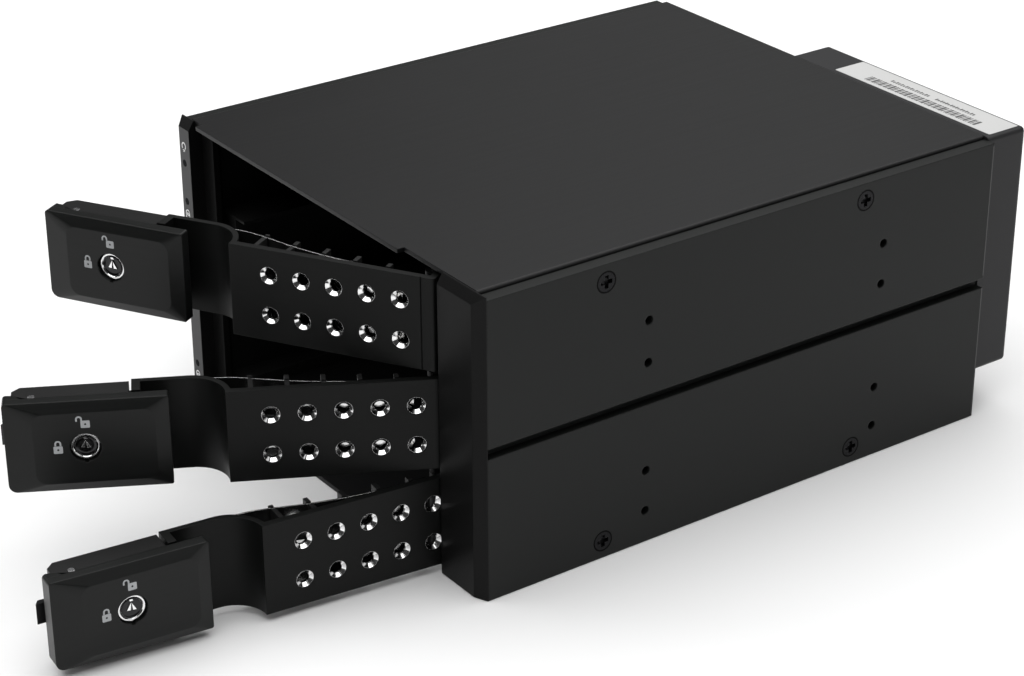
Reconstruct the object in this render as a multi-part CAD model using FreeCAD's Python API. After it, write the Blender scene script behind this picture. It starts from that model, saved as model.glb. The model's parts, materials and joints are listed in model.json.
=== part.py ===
import FreeCAD, Part
import math
import os

# Trayless hot swap drive cage: three 3.5 inch drives in two 5.25 inch bays.
# Millimetres. X runs to the right, Y to the rear and Z up. The origin is the middle of the underside.
# Each door is drawn shut, in (u, v): u runs from the hinge axis to the door's free end, and v is
# the distance in front of the axis. place_on_door turns and carries it to its open angle.

V = FreeCAD.Vector
PARTS = "parts"

# ---------------------------------------------------------------- chassis
body_depth = 170.0          # bezel face to the rear of the side plates
bay_gap = 1.2               # a bay is this much taller than its drive
bay_margin = 1.15           # outside the lowest and the highest bay
free_end_gap = 6.2          # from a shut lever's end to the left post
plate_t = 3.8               # side plate
cover_t = 1.2               # folded sheet of both covers
cover_proud = 0.9           # the top cover stands this much above the side plates
cover_gap = 0.3             # between a cover and what stands beside it
cover_bend_r = 0.85
cover_flange = 10.6         # height of a cover's folded side
cover_flange_setback = 11.2  # bezel face to the front of a folded side
cover_lip_inset = 0.3       # the covers' front lip lies this much behind the bezel face
lip_hinge_gap = 9.2         # from the front lip's right end to the hinge axis
lip_left_inset = 10.2       # from the left side plate's face to the front lip

groove_h = 2.9              # slot that clears the case's shelf tabs
groove_depth = 2.6

# case mounting holes, as on any two stacked 5.25 inch devices
mount_setback = 51.5        # bezel face to the front column
mount_pitch_y = 79.25
mount_pitch_z = 11.84
mount_first_z = 9.3
mount_bay_rise = 43.0
mount_hole_r = 1.25

side_screw_y = (35.85, 121.35)  # from the side plate's front edge
side_screw_edge = 4.9         # from the side plate's top or bottom edge
side_screw_r = 1.25
side_screw_head_r = 2.8
cross_l = 1.75              # half length and half width of the cross recess
cross_w = 0.6
cross_depth = 0.9             # cross recess in a screw's head
screw_gap = 0.05              # radial room round every screw

# ---------------------------------------------------------------- bezel posts
bezel_t = 2.0               # front flange of a post, ahead of the side plate
post_depth = 9.0            # bezel face to the back of a post
post_right_w = 18.1
post_left_w = 6.3
post_chamfer = 3.75         # outer edge of the right post
post_left_chamfer = 0.8     # outer edge of the left post
post_top_chamfer = 2.7
chamfer_land = 0.3          # flat left behind each chamfer
post_relief = 1.5           # the right post's box stands back from its flange, for the open door
post_gap = 0.1              # between a post's box and the plates and covers round it

# status lights in the left post
light_r = 1.0
light_first_z = 8.7
light_pitch = 25.4          # between the lights of two drives
light_top_drop = 13.1       # from the top down to the power light
light_head_r = 1.4
light_head_t = 0.8
led_pocket_w = 3.5
led_board_t = 0.8
led_board_w = 2.8
led_board_back = 1.2        # from the board's back to the post's back
led_board_past = 4.0        # board past the first and last light
led_chip = 1.2
led_chip_t = 0.7

# ---------------------------------------------------------------- doors
door_gap = 2.1              # between two doors
door_open_deg = (83.8, 61.8, 31.6)   # lowest door first
hinge_to_post = 8.4         # hinge axis to the right post's inner edge
hinge_setback = 5.65        # hinge axis behind the bezel face
rod_r = 1.25
rod_gap = 0.05
barrel_r = 2.8
barrel_inset = 3.0          # a door's barrel is shorter than the door by this at each end
lug_gap = 0.2
lug_t = 1.5
bracket_t = 1.2
bracket_end = 0.8           # rod past the outermost lugs

face_v = 8.2                # door face in front of the hinge axis
panel_t = 1.9
panel_corner_r = 1.2
web_u = -3.1                # outer side of the web from the panel to the barrel
web_foot_v = 3.3            # below this the web is only as tall as the barrel
score_u = 0.6               # scored line beside the web
score_w = 0.5
score_depth = 0.4
scoop_r = 8.9
arm_t = 1.5
arm_flange_t = 2.2
arm_flange_v = 3.9

perf_cols = 5
perf_rows = 2
perf_pitch_u = 9.0
perf_pitch_z = 11.0
perf_first_u = 6.4
perf_end = 10.8             # from the last column of holes to the finger scoop
perf_r = 1.5
perf_sink_r = 2.52

# ribbed liner behind the panel
liner_t = 0.8
liner_start = 5.0
liner_scoop_gap = 0.8       # from the liner to the scoop's back
liner_edge = 0.8            # the liner is lower than the panel by this, top and bottom
liner_hole_r = 2.1
rib_t = 1.2
rib_first_v = 2.9           # tip of the rib next to the hinge
rib_last_v = -1.1           # tip of the rib next to the scoop

# bowed leaf spring, two fingers from one root
leaf_t = 0.35
leaf_edge = 0.6             # the leaf is lower than the panel by this, top and bottom
leaf_root_u = 6.8
leaf_flat_u = 18.0
leaf_split = 2.0            # half the gap between the fingers
leaf_split_u = 9.2
leaf_slot = 0.35            # room round the leaf in each rib
leaf_bow = ((29.4, 4.4), (41.2, 1.9), (52.3, -0.9), (56.5, -1.15))
rivet_r = 0.8
rivet_head_r = 1.3
rivet_head_t = 0.5
rivet_z = 6.0
rivet_u = 8.0

# lock housing on the end of the arm
housing_gap = 0.6           # slit between the arm's flange and the housing
housing_l = 28.6
housing_edge = 0.6          # the housing is lower than the panel by this, top and bottom
housing_v = 4.1
housing_wall = 1.4
housing_floor = 1.3
housing_corner = 2.0
housing_rim_past_pin = 0.3  # from here on the rim slopes back, clear of the lever
housing_rim_v = 1.8
housing_pad_edge = 2.4
pad_inset = 0.3
housing_screw_z = 6.0
housing_screw_v = 1.4
housing_screw_r = 0.8
housing_screw_head_r = 1.5
housing_screw_head_t = 0.9
housing_screw_l = 3.4

# latch lever
lever_l = 40.4
lever_after_scoop = 4.9     # from the centre of the scoop's arc to the lever
lever_edge = 0.3            # the lever is lower than the panel by this, top and bottom
lever_proud = 0.4           # its face stands this much in front of the panel's
lever_back_v = 4.3
lever_rim_v = 7.45          # rim at the scoop end
lever_rim_fall = 0.5        # the rim lies this much further back at the free end
lever_bevel_start = 3.6     # bevel at the scoop end
lever_bevel_end = 7.0       # bevel at the free end
lever_bevel_side = 2.65     # bevel at the top and bottom
lever_corners = (0.6, 1.0, 2.2, 0.6)    # radii: scoop end top, free end top and bottom, scoop end bottom
lever_inner_r = 3.0         # corners of the flat face inside the bevels
lever_lip_t = 1.0           # the wall that wraps round the housing's free end
lever_lip_v = 2.2
lever_lip_gap = 1.2         # from the lip to the housing, so that the lip can swing past it
pin_setback = 7.1           # from the lever's free end to the latch pin
pin_v = 3.0
pin_r = 0.9
pin_gap = 0.05
ear_r = 2.0
ear_t = 1.4
ear_gap = 0.3               # from an ear to the housing's wall
hook_half = 2.8
hook_slot_gap = 0.4
hook_slot_past_pin = 1.1
hook_foot = 3.8             # foot on the lever's back
hook_shank_t = 1.8
hook_nose_t = 1.65
hook_nose_rake = 1.0        # the nose's tip slopes by this over its thickness
hook_heel = 1.3             # bevel behind the shank
hook_reach = 0.7            # the nose reaches this far behind the strike's lip
hook_lip_gap = 0.35

# key lock in the lever
lock_setback = 19.6         # from the lever's free end to the lock's axis
lock_r = 3.5
lock_gap = 0.35
lock_face_inset = 0.85
lock_dish_r = 3.1           # dished face inside the barrel's rim
lock_dish = 0.4
lock_notch_w = 1.0          # notch under the lock's bore
lock_notch_h = 0.35
key_slot_depth = 1.0
key_slot_tip = 1.5          # arrow's tip above the lock's axis
key_slot_foot = 0.9         # arrow's barbs below it
key_slot_notch = 0.7
key_slot_w = 2.2
lock_back_v = 0.8
lock_stub_r = 1.0
lock_stub_l = 1.3
cam_t = 1.0
cam_r = 2.6
cam_tail_w = 2.6
cam_tail_l = 7.5
catch_half = 2.4
catch_wall = 1.5
catch_shelf_t = 1.1
catch_gap = 0.4
catch_bite = 2.0            # the locked tail reaches this far under the catch

# strike strip on the left post
strike_gap = 0.5            # from the lever's end to the lip
strike_t = 1.8
strike_front_v = 1.4
strike_flange_t = 1.4

# ---------------------------------------------------------------- inside
drive_w = 101.6
drive_h = 26.1
drive_side_gap = 0.6
drive_under_gap = 0.15
drive_inset = 14.4          # from the left side plate's face to a drive
guide_t = 1.5               # spine and webs of a drive guide
guide_block_h = 3.6
guide_block_w = 4.0
guide_lip_t = 0.8
guide_lip_w = 4.8
guide_front_gap = 0.1

board_front = 12.75         # rear of the side plates to the backplane's front
board_t = 1.6
board_edge = 1.9            # from the board's edge to the guide spines and covers
vent_w = 7.0
vent_count = 9
vent_pitch = 11.0
vent_h = 8.0
vent_drop = 6.0             # vent centre above each gap between two drives
board_screw_r = 0.9
board_screw_head_r = 1.8
board_screw_head_t = 1.1
board_screw_l = 8.0

plug_w = 41.0               # drive connector
plug_h = 6.0
plug_l = 7.5
plug_inset = 36.0           # centre from the drive's left side
plug_lift = 5.2             # centre above the drive's underside
plug_slot_h = 1.6
plug_slot_l = 5.0
plug_rib = 3.6              # solid end beside the slot

data_inset = 13.5           # from the left side plate's face to the rear data sockets
data_to_power = 2.0         # between the rear data and power sockets
data_w = 15.4
data_h = 7.2
data_l = 11.8
data_slot_h = 2.2
data_slot_l = 6.0
data_wall = 1.6
power_to_shroud = 2.2       # from the rear power sockets to the shroud's flange
power_w = 22.6
power_h = 11.4
power_l = 12.4
power_wall = 1.2
power_depth = 9.5
power_pins = 4
power_pin_pitch = 5.08
power_pin_r = 1.05
socket_gap = 0.5            # round each socket in the rear panel

rear_panel_t = 1.0
rear_flange = 7.5

# ---------------------------------------------------------------- fan and its shroud
shroud_side = 2.2           # from the right side plate's face to the shroud
shroud_h = 71.5
shroud_depth = 14.3
shroud_t = 1.0
shroud_r = 1.4
shroud_flange_w = 8.0
shroud_flange_h = 56.0
shroud_screw_r = 1.5
pan_head_r = 2.8
pan_head_t = 1.6
pan_head_bevel = 0.7
pan_cross_l = 1.6           # half length of the cross recess
pan_cross_w = 0.45
pan_cross_depth = 0.9
shroud_screw_l = 5.0
shroud_screw_z = 20.0       # from the middle of the flange

fan_size = 60.0
fan_t = 15.0
fan_bore_r = 28.2
fan_flange_t = 3.2
fan_ring_t = 1.4
fan_corner_r = 3.5
fan_hole = 25.0             # screw hole from the fan's centre, each way
fan_hole_r = 1.6
fan_gap = 0.5               # round the fan in the rear panel
fan_hub_r = 13.5
fan_hub_l = 11.0
fan_tip_gap = 0.8
fan_blades = 7
fan_blade_t = 1.1
fan_root_deg = 48.0         # blade's angle from the plane of rotation
fan_tip_deg = 26.0
fan_root_chord = 10.5
fan_tip_chord = 19.0
fan_strut_t = 2.0
fan_strut_w = 3.0
fan_strut_deg = 20.0
fan_shaft_r = 1.5
fan_shaft_gap = 0.06
fan_axial_gap = 0.9

guard_t = 1.2
guard_wire = 1.3
guard_pitch = 6.0
guard_rings = 4
guard_eye_r = 3.4

# ---------------------------------------------------------------- derived places
door_pitch = drive_h + bay_gap
door_height = door_pitch - door_gap
panel_end = perf_first_u + (perf_cols - 1) * perf_pitch_u + perf_end
scoop_u = panel_end + scoop_r               # centre of the scoop's arc
lever_start = scoop_u + lever_after_scoop
lever_end = lever_start + lever_l
body_width = post_left_w + free_end_gap + lever_end + hinge_to_post + post_right_w
body_height = 3 * door_pitch + 2 * bay_margin
half_w = body_width / 2
y_front = -body_depth / 2
y_rear = body_depth / 2
plate_in = half_w - plate_t                 # inner face of a side plate
plate_front = y_front + bezel_t
plate_top = body_height - cover_proud
cover_half = plate_in - cover_gap
flange_in = cover_half - cover_t            # inner face of a cover's folded side
inside_low = cover_t
inside_high = body_height - cover_t
post_back = y_front + post_depth
post_right_in = half_w - post_right_w
post_left_in = -half_w + post_left_w

hinge_x = post_right_in - hinge_to_post
hinge_y = y_front + hinge_setback
door_half = door_height / 2
door_z = [body_height / 2 + (k - 1) * door_pitch for k in range(3)]
lip_right = hinge_x - lip_hinge_gap
lip_left = -half_w + lip_left_inset
light_z = [light_first_z + k * light_pitch for k in range(3)] + [body_height - light_top_drop]
led_board_z = (light_z[0] - led_board_past, light_z[-1] + led_board_past)
barrel_half = door_half - barrel_inset

panel_back_v = face_v - panel_t
arm_v = face_v - scoop_r
arm_back_v = arm_v - arm_t
housing_end = lever_end - lever_lip_t - lever_lip_gap
housing_start = housing_end - housing_l
housing_half = door_half - housing_edge
arm_end = housing_start - housing_gap
leaf_half = door_half - leaf_edge
lever_half = door_half - lever_edge
lever_face_v = face_v + lever_proud
pin_u = lever_end - pin_setback
lock_u = lever_end - lock_setback
cam_v = lock_back_v - cam_t
strike_edge_u = lever_end + strike_gap
strike_back_v = strike_front_v - strike_t

drive_left = -half_w + drive_inset
drive_right = drive_left + drive_w
bay_left = drive_left - drive_side_gap
bay_right = drive_right + drive_side_gap
board_y = y_rear - board_front
shelf_z = [door_z[k] - drive_h / 2 - drive_under_gap for k in (1, 2)]

rear_panel_y = y_rear - rear_panel_t
data_x = -half_w + data_inset + data_w / 2
power_x = data_x + data_w / 2 + data_to_power + power_w / 2
shroud_right = half_w - shroud_side
shroud_left = power_x + power_w / 2 + power_to_shroud + shroud_flange_w
shroud_w = shroud_right - shroud_left
shroud_top = body_height
shroud_low = shroud_top - shroud_h
shroud_back = y_rear + shroud_depth
fan_x = shroud_left + shroud_w / 2
fan_z = shroud_low + shroud_h / 2
fan_back = shroud_back - shroud_t
fan_front = fan_back - fan_t


# ---------------------------------------------------------------- helpers
def box(x0, x1, y0, y1, z0, z1):
    return Part.makeBox(x1 - x0, y1 - y0, z1 - z0, V(x0, y0, z0))


def cylinder(r, start, end):
    """A round bar between two points."""
    along = end - start
    return Part.makeCylinder(r, along.Length, start, along)


def fuse(shapes):
    """One solid from several that touch."""
    first, rest = shapes[0], shapes[1:]
    return (first.fuse(rest) if rest else first).removeSplitter()


def cut(shape, tools):
    return shape.cut(tools) if tools else shape


def polygon(points):
    return Part.Face(Part.makePolygon(points + points[:1]))


def prism_z(points, z0, z1):
    """An outline in X and Y, raised from z0 to z1."""
    return polygon([V(x, y, z0) for x, y in points]).extrude(V(0, 0, z1 - z0))


def prism_y(points, y0, y1):
    """An outline in X and Z, drawn out from y0 to y1."""
    return polygon([V(x, y0, z) for x, z in points]).extrude(V(0, y1 - y0, 0))


def uv(u, v, z=0.0):
    """A point of a shut door, measured from its hinge axis and mid height."""
    return V(-u, -v, z)


def door_prism(points, z0, z1):
    return polygon([uv(u, v, z0) for u, v in points]).extrude(V(0, 0, z1 - z0))


def door_box(u0, u1, v0, v1, z0, z1):
    return door_prism([(u0, v0), (u1, v0), (u1, v1), (u0, v1)], z0, z1)


def place_on_door(shape, k):
    """Carries a piece from the shut door at the origin to door k as it stands open."""
    placed = shape.copy()
    placed.rotate(V(0, 0, 0), V(0, 0, 1), door_open_deg[k])
    placed.translate(V(hinge_x, hinge_y, door_z[k]))
    return placed


def rounded_rect(width, height, radii):
    """A rounded rectangle round the origin in X and Y: a wire whose corners run on from the first quadrant."""
    edges = []
    corners = ((1, 1, 0), (-1, 1, 90), (-1, -1, 180), (1, -1, 270))
    for r, (sx, sy, start) in zip(radii, corners):
        cx, cy = sx * (width / 2 - r), sy * (height / 2 - r)
        angles = [math.radians(start + d) for d in (0, 45, 90)]
        pts = [V(cx + r * math.cos(a), cy + r * math.sin(a), 0) for a in angles]
        if edges:
            edges.append(Part.LineSegment(last, pts[0]).toShape())
        else:
            first = pts[0]
        edges.append(Part.Arc(*pts).toShape())
        last = pts[2]
    edges.append(Part.LineSegment(last, first).toShape())
    return Part.Wire(edges)


def export(name, shapes):
    """One STEP per sub-part. A list of solids that don't touch is kept as a group."""
    solids = shapes if isinstance(shapes, list) else [shapes]
    solids = [s for shape in solids for s in shape.Solids]
    whole = solids[0] if len(solids) == 1 else Part.makeCompound(solids)
    if not whole.isValid():
        raise ValueError(name + " is not valid")
    whole.exportStep(os.path.join(PARTS, name + ".step"))


# ---------------------------------------------------------------- side plates
def mount_holes():
    """(y, z) of the eight case mounting holes of one side."""
    rows = [mount_first_z + bay + row for bay in (0, mount_bay_rise) for row in (0, mount_pitch_z)]
    front = y_front + mount_setback
    return [(y, z) for y in (front, front + mount_pitch_y) for z in rows]


def side_screw_places():
    """(y, z) of the four countersunk screws of one side."""
    heights = (side_screw_edge, plate_top - side_screw_edge)
    return [(plate_front + y, z) for y in side_screw_y for z in heights]


def side_plate(side):
    plate = box(plate_in, half_w, plate_front, y_rear, 0, plate_top)
    mid = plate_top / 2
    tools = [box(half_w - groove_depth, half_w + 1, plate_front - 1, y_rear + 1,
                 mid - groove_h / 2, mid + groove_h / 2)]
    for y, z in mount_holes():
        tools.append(cylinder(mount_hole_r, V(plate_in - 1, y, z), V(half_w + 1, y, z)))
    for y, z in side_screw_places():
        tools.append(cylinder(side_screw_r + screw_gap, V(plate_in - 1, y, z), V(half_w + 1, y, z)))
        tools.append(countersink(half_w, y, z, screw_gap))
    if side < 0:
        pocket_in = half_w - post_left_w + (post_left_w - led_pocket_w) / 2
        tools.append(box(plate_in - 1, pocket_in + led_pocket_w, plate_front - 1, post_back,
                         led_board_z[0] - 1, led_board_z[1] + 1))
    plate = cut(plate, tools)
    return plate if side > 0 else plate.mirror(V(0, 0, 0), V(1, 0, 0))


def countersink(x, y, z, room=0.0):
    """The head of a countersunk screw whose flat top lies in the plane at x."""
    depth = side_screw_head_r - side_screw_r
    return Part.makeCone(side_screw_r + room, side_screw_head_r + room, depth, V(x - depth, y, z), V(1, 0, 0))


def side_screw(y, z):
    """Countersunk screw with a cross recess, through the plate, the cover's fold and the guide."""
    head = countersink(half_w, y, z)
    shank = cylinder(side_screw_r - screw_gap, V(flange_in - guide_t, y, z), V(half_w - cross_depth, y, z))
    screw = fuse([head, shank])
    floor = half_w - cross_depth
    recess = [box(floor, half_w + 1, y - a, y + a, z - b, z + b)
              for a, b in ((cross_l, cross_w), (cross_w, cross_l))]
    return cut(screw, recess)


def side_screws():
    right = [side_screw(y, z) for y, z in side_screw_places()]
    return right + [s.mirror(V(0, 0, 0), V(1, 0, 0)) for s in right]


# ---------------------------------------------------------------- covers
def cover():
    """The top cover: a sheet with two folded sides and a lip between the posts."""
    low = body_height - cover_t
    sheet = box(-cover_half, cover_half, plate_front + cover_gap, y_rear, low, body_height)
    lip = box(lip_left, lip_right, y_front + cover_lip_inset, plate_front + cover_gap, low, body_height)
    folds = []
    for side in (-1, 1):
        x0, x1 = sorted((side * cover_half, side * flange_in))
        folds.append(box(x0, x1, y_front + cover_flange_setback, y_rear, body_height - cover_flange, low))
    whole = fuse([sheet, lip] + folds)
    bends = [e for e in whole.Edges
             if abs(abs(e.CenterOfMass.x) - cover_half) < 1e-6 and abs(e.CenterOfMass.z - body_height) < 1e-6]
    whole = whole.makeFillet(cover_bend_r, bends)
    holes = []
    for y, z in side_screw_places():
        if z > body_height / 2:
            holes.append(cylinder(side_screw_r, V(-half_w, y, z), V(half_w, y, z)))
    return cut(whole, holes)


def bottom_cover():
    """The same sheet turned over, its screws on the lower line of holes."""
    turned = cover().mirror(V(0, 0, body_height / 2), V(0, 0, 1))
    plugs, holes = [], []
    for y, z in side_screw_places():
        if z > body_height / 2:
            for side in (-1, 1):
                old = body_height - z
                ends = sorted((side * cover_half, side * flange_in))
                plugs.append(cylinder(side_screw_r, V(ends[0], y, old), V(ends[1], y, old)))
        else:
            holes.append(cylinder(side_screw_r, V(-half_w, y, z), V(half_w, y, z)))
    return cut(fuse([turned] + plugs), holes)


# ---------------------------------------------------------------- bezel posts
def post(width, chamfer, relief, mirrored):
    """A bezel post drawn on the right: a chamfered front flange with a box behind it."""
    inner = half_w - width
    bevel = bezel_t - chamfer_land
    flange = prism_z([(inner, y_front), (half_w - chamfer, y_front), (half_w, y_front + bevel),
                      (half_w, plate_front), (inner, plate_front)], 0, body_height)
    top = body_height
    wedge = Part.Face(Part.makePolygon([V(0, y_front, top), V(0, y_front, top - post_top_chamfer),
                                        V(0, y_front + bevel, top), V(0, y_front, top)]))
    flange = flange.cut(wedge.extrude(V(half_w + 1, 0, 0)))
    core = box(inner + relief, plate_in - post_gap, plate_front, post_back,
               inside_low + post_gap, inside_high - post_gap)
    whole = fuse([flange, core])
    return whole.mirror(V(0, 0, 0), V(1, 0, 0)) if mirrored else whole


def light_x():
    return -half_w + post_left_w / 2


def post_left():
    """The left post, with the status lights' holes and a pocket for their board."""
    whole = post(post_left_w, post_left_chamfer, 0, True)
    x = light_x()
    pocket = box(x - led_pocket_w / 2, x + led_pocket_w / 2, plate_front - chamfer_land, post_back + 1,
                 led_board_z[0] - 1, led_board_z[1] + 1)
    holes = [cylinder(light_r + screw_gap, V(x, y_front - 1, z), V(x, plate_front, z)) for z in light_z]
    return cut(whole, [pocket] + holes)


def led_board():
    """A strip of board with one chip behind each light pipe."""
    x = light_x()
    back = post_back - led_board_back
    front = back - led_board_t
    strip = box(x - led_board_w / 2, x + led_board_w / 2, front, back, *led_board_z)
    h = led_chip / 2
    chips = [box(x - h, x + h, front - led_chip_t, front, z - h, z + h) for z in light_z]
    return fuse([strip] + chips)


def light_pipes():
    """Clear rods from the chips to the bezel face, each with a collar behind the face."""
    x = light_x()
    chip_top = post_back - led_board_back - led_board_t - led_chip_t
    collar = plate_front - chamfer_land
    pipes = []
    for z in light_z:
        rod = cylinder(light_r, V(x, y_front, z), V(x, chip_top, z))
        ring = cylinder(light_head_r, V(x, collar, z), V(x, collar + light_head_t, z))
        pipes.append(fuse([rod, ring]))
    return pipes


def strike_strip():
    """The angle on the left post whose lip the latch hooks hold."""
    lip_x = hinge_x - strike_edge_u
    y0, y1 = hinge_y - strike_front_v, hinge_y - strike_back_v
    outline = [(post_left_in, y0), (lip_x, y0), (lip_x, y1), (post_left_in + strike_flange_t, y1),
               (post_left_in + strike_flange_t, post_back), (post_left_in, post_back)]
    return prism_z(outline, inside_low + post_gap, inside_high - post_gap)


# ---------------------------------------------------------------- hinge
def lug_levels():
    """(low, high) of the six lugs, one below and one above each door's barrel."""
    low = barrel_half + lug_gap
    return [pair for z in door_z for pair in ((z - low - lug_t, z - low), (z + low, z + low + lug_t))]


def hinge_bracket():
    """A plate on the right post's back with six lugs that carry the hinge rod."""
    plate = box(hinge_x - barrel_r, plate_in - cover_t - post_gap, post_back, post_back + bracket_t,
                inside_low + post_gap, inside_high - post_gap)
    lugs = []
    for z0, z1 in lug_levels():
        eye = cylinder(barrel_r, V(hinge_x, hinge_y, z0), V(hinge_x, hinge_y, z1))
        lugs.append(fuse([eye, box(hinge_x - barrel_r, hinge_x + barrel_r, hinge_y, post_back, z0, z1)]))
    bore = cylinder(rod_r, V(hinge_x, hinge_y, 0), V(hinge_x, hinge_y, body_height))
    holes = [cylinder(side_screw_r, V(x, post_back - 1, z), V(x, post_back + bracket_t + 1, z))
             for x, z in bracket_screw_places()]
    return cut(fuse([plate] + lugs), [bore] + holes)


def bracket_screw_places():
    x = (post_right_in + post_relief + plate_in) / 2
    return [(x, door_z[0]), (x, door_z[2])]


def bracket_screws():
    screws = []
    for x, z in bracket_screw_places():
        seat = post_back + bracket_t
        head = cylinder(board_screw_head_r, V(x, seat, z), V(x, seat + board_screw_head_t, z))
        screws.append(fuse([head, cylinder(side_screw_r - screw_gap, V(x, post_back, z), V(x, seat, z))]))
    return screws


def hinge_rod():
    levels = lug_levels()
    low, high = levels[0][0] - bracket_end, levels[-1][1] + bracket_end
    rod = cylinder(rod_r, V(hinge_x, hinge_y, low), V(hinge_x, hinge_y, high))
    return rod.makeChamfer(0.3, [e for e in rod.Edges if e.Curve.TypeId == "Part::GeomCircle"])


# ---------------------------------------------------------------- door panel, scoop and arm
def door_outline():
    """The drawn section: web, panel, finger scoop, arm and end flange."""
    def line(a, b):
        return Part.LineSegment(uv(*a), uv(*b)).toShape()

    def curve(a, b, c):
        return Part.Arc(uv(*a), uv(*b), uv(*c)).toShape()

    diag = math.sqrt(0.5)
    r = panel_corner_r
    outer_r = scoop_r + arm_t
    turn = math.asin((face_v - panel_back_v) / outer_r)      # where the scoop's back meets the panel's
    back_u = scoop_u - outer_r * math.cos(turn)
    mid = (turn + math.pi / 2) / 2
    web_in = web_u + panel_t
    corner = [(web_u, face_v - r), (web_u + r * (1 - diag), face_v - r * (1 - diag)), (web_u + r, face_v)]
    half = score_w / 2
    score = [(score_u - half, face_v), (score_u, face_v - score_depth), (score_u + half, face_v)]
    scoop = [(panel_end, face_v), (scoop_u - scoop_r * diag, face_v - scoop_r * diag), (scoop_u, arm_v)]
    back = [(scoop_u, arm_back_v), (scoop_u - outer_r * math.cos(mid), face_v - outer_r * math.sin(mid)),
            (back_u, panel_back_v)]
    flange_u = arm_end - arm_flange_t
    flange = [(flange_u, arm_v), (flange_u, arm_flange_v), (arm_end, arm_flange_v), (arm_end, arm_back_v)]
    web = [(web_in, panel_back_v), (web_in, web_foot_v), (web_u, web_foot_v)]

    def run(points):
        return [line(a, b) for a, b in zip(points, points[1:])]

    return Part.Wire([line(web[-1], corner[0]), curve(*corner)] + run([corner[2]] + score + [scoop[0]])
                     + [curve(*scoop)] + run([scoop[2]] + flange + [back[0]]) + [curve(*back)]
                     + run([back[2]] + web))


def perforations():
    """(u, z) of the holes in a door panel."""
    top = perf_pitch_z * (perf_rows - 1) / 2
    return [(perf_first_u + c * perf_pitch_u, top - r * perf_pitch_z)
            for c in range(perf_cols) for r in range(perf_rows)]


def door_panel():
    face = Part.Face(door_outline())
    face.translate(V(0, 0, -door_half))
    section = face.extrude(V(0, 0, door_height))
    barrel = cylinder(barrel_r, V(0, 0, -barrel_half), V(0, 0, barrel_half))
    foot = door_box(web_u, web_u + panel_t, 0, web_foot_v, -barrel_half, barrel_half)
    whole = fuse([section, barrel, foot])
    tools = [cylinder(rod_r + rod_gap, V(0, 0, -door_half), V(0, 0, door_half))]
    sink = perf_sink_r - perf_r
    for u, z in perforations():
        tools.append(cylinder(perf_r, uv(u, panel_back_v - 1, z), uv(u, face_v + 1, z)))
        tools.append(Part.makeCone(perf_r, perf_sink_r, sink, uv(u, face_v - sink, z), V(0, -1, 0)))
    for z in (-housing_screw_z, housing_screw_z):
        tools.append(cylinder(housing_screw_r + screw_gap, uv(arm_end - arm_flange_t - 1, housing_screw_v, z),
                              uv(arm_end + 1, housing_screw_v, z)))
    return cut(whole, tools)


# ---------------------------------------------------------------- liner and leaf spring
def rib_places():
    """(u, tip v) of the ribs, which stand between the columns of holes."""
    last = perf_cols - 1
    return [(perf_first_u + (i + 0.5) * perf_pitch_u, rib_first_v + (rib_last_v - rib_first_v) * i / last)
            for i in range(perf_cols)]


def liner_back_v():
    return panel_back_v - liner_t


def leaf_curve(offset):
    """The bowed side of the leaf, moved back by offset."""
    points = [(leaf_flat_u, liner_back_v())] + list(leaf_bow)
    curve = Part.BSplineCurve()
    curve.interpolate([uv(u, v - offset) for u, v in points])
    return curve.toShape()


def leaf_section(room):
    """A face along the leaf with some room on both sides."""
    root = uv(leaf_root_u, liner_back_v() + room)
    front, back = leaf_curve(-room), leaf_curve(leaf_t + room)
    low_root = uv(leaf_root_u, liner_back_v() - leaf_t - room)
    flat_front, flat_back = front.valueAt(front.FirstParameter), back.valueAt(back.FirstParameter)
    tip_front, tip_back = front.valueAt(front.LastParameter), back.valueAt(back.LastParameter)
    edges = [Part.LineSegment(low_root, root).toShape(), Part.LineSegment(root, flat_front).toShape(), front,
             Part.LineSegment(tip_front, tip_back).toShape(), back,
             Part.LineSegment(flat_back, low_root).toShape()]
    return Part.Face(Part.Wire(edges))


def leaf_spring():
    face = leaf_section(0)
    face.translate(V(0, 0, -leaf_half))
    sheet = face.extrude(V(0, 0, 2 * leaf_half))
    split = door_box(leaf_split_u, leaf_bow[-1][0] + 1, leaf_bow[-1][1] - 2, face_v, -leaf_split, leaf_split)
    holes = [cylinder(rivet_r, uv(rivet_u, 0, z), uv(rivet_u, face_v, z)) for z in (-rivet_z, rivet_z)]
    return cut(sheet, [split] + holes)


def door_liner():
    """A moulded plate behind the panel with tapering ribs, slotted where the leaf passes."""
    half = door_half - liner_edge
    back_v = liner_back_v()
    end_u = scoop_u - scoop_r - arm_t - liner_scoop_gap
    plate = door_box(liner_start, end_u, back_v, panel_back_v, -half, half)
    ribs = []
    for u, tip in rib_places():
        ribs.append(door_box(u - rib_t / 2, u + rib_t / 2, tip, back_v, -half, half + liner_edge / 2))
    whole = fuse([plate] + ribs)
    slot_face = leaf_section(leaf_slot)
    slots = []
    for z0, z1 in ((leaf_split - leaf_slot, door_half), (-door_half, leaf_slot - leaf_split)):
        slot = slot_face.copy()
        slot.translate(V(0, 0, z0))
        slots.append(slot.extrude(V(0, 0, z1 - z0)).cut(
            door_box(0, end_u + 1, back_v, face_v, -door_half, door_half)))
    tools = [cylinder(liner_hole_r, uv(u, back_v - 0.5, z), uv(u, face_v, z)) for u, z in perforations()]
    tools += [cylinder(rivet_r, uv(rivet_u, back_v - 1, z), uv(rivet_u, panel_back_v, z))
              for z in (-rivet_z, rivet_z)]
    return cut(whole, slots + tools)


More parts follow.
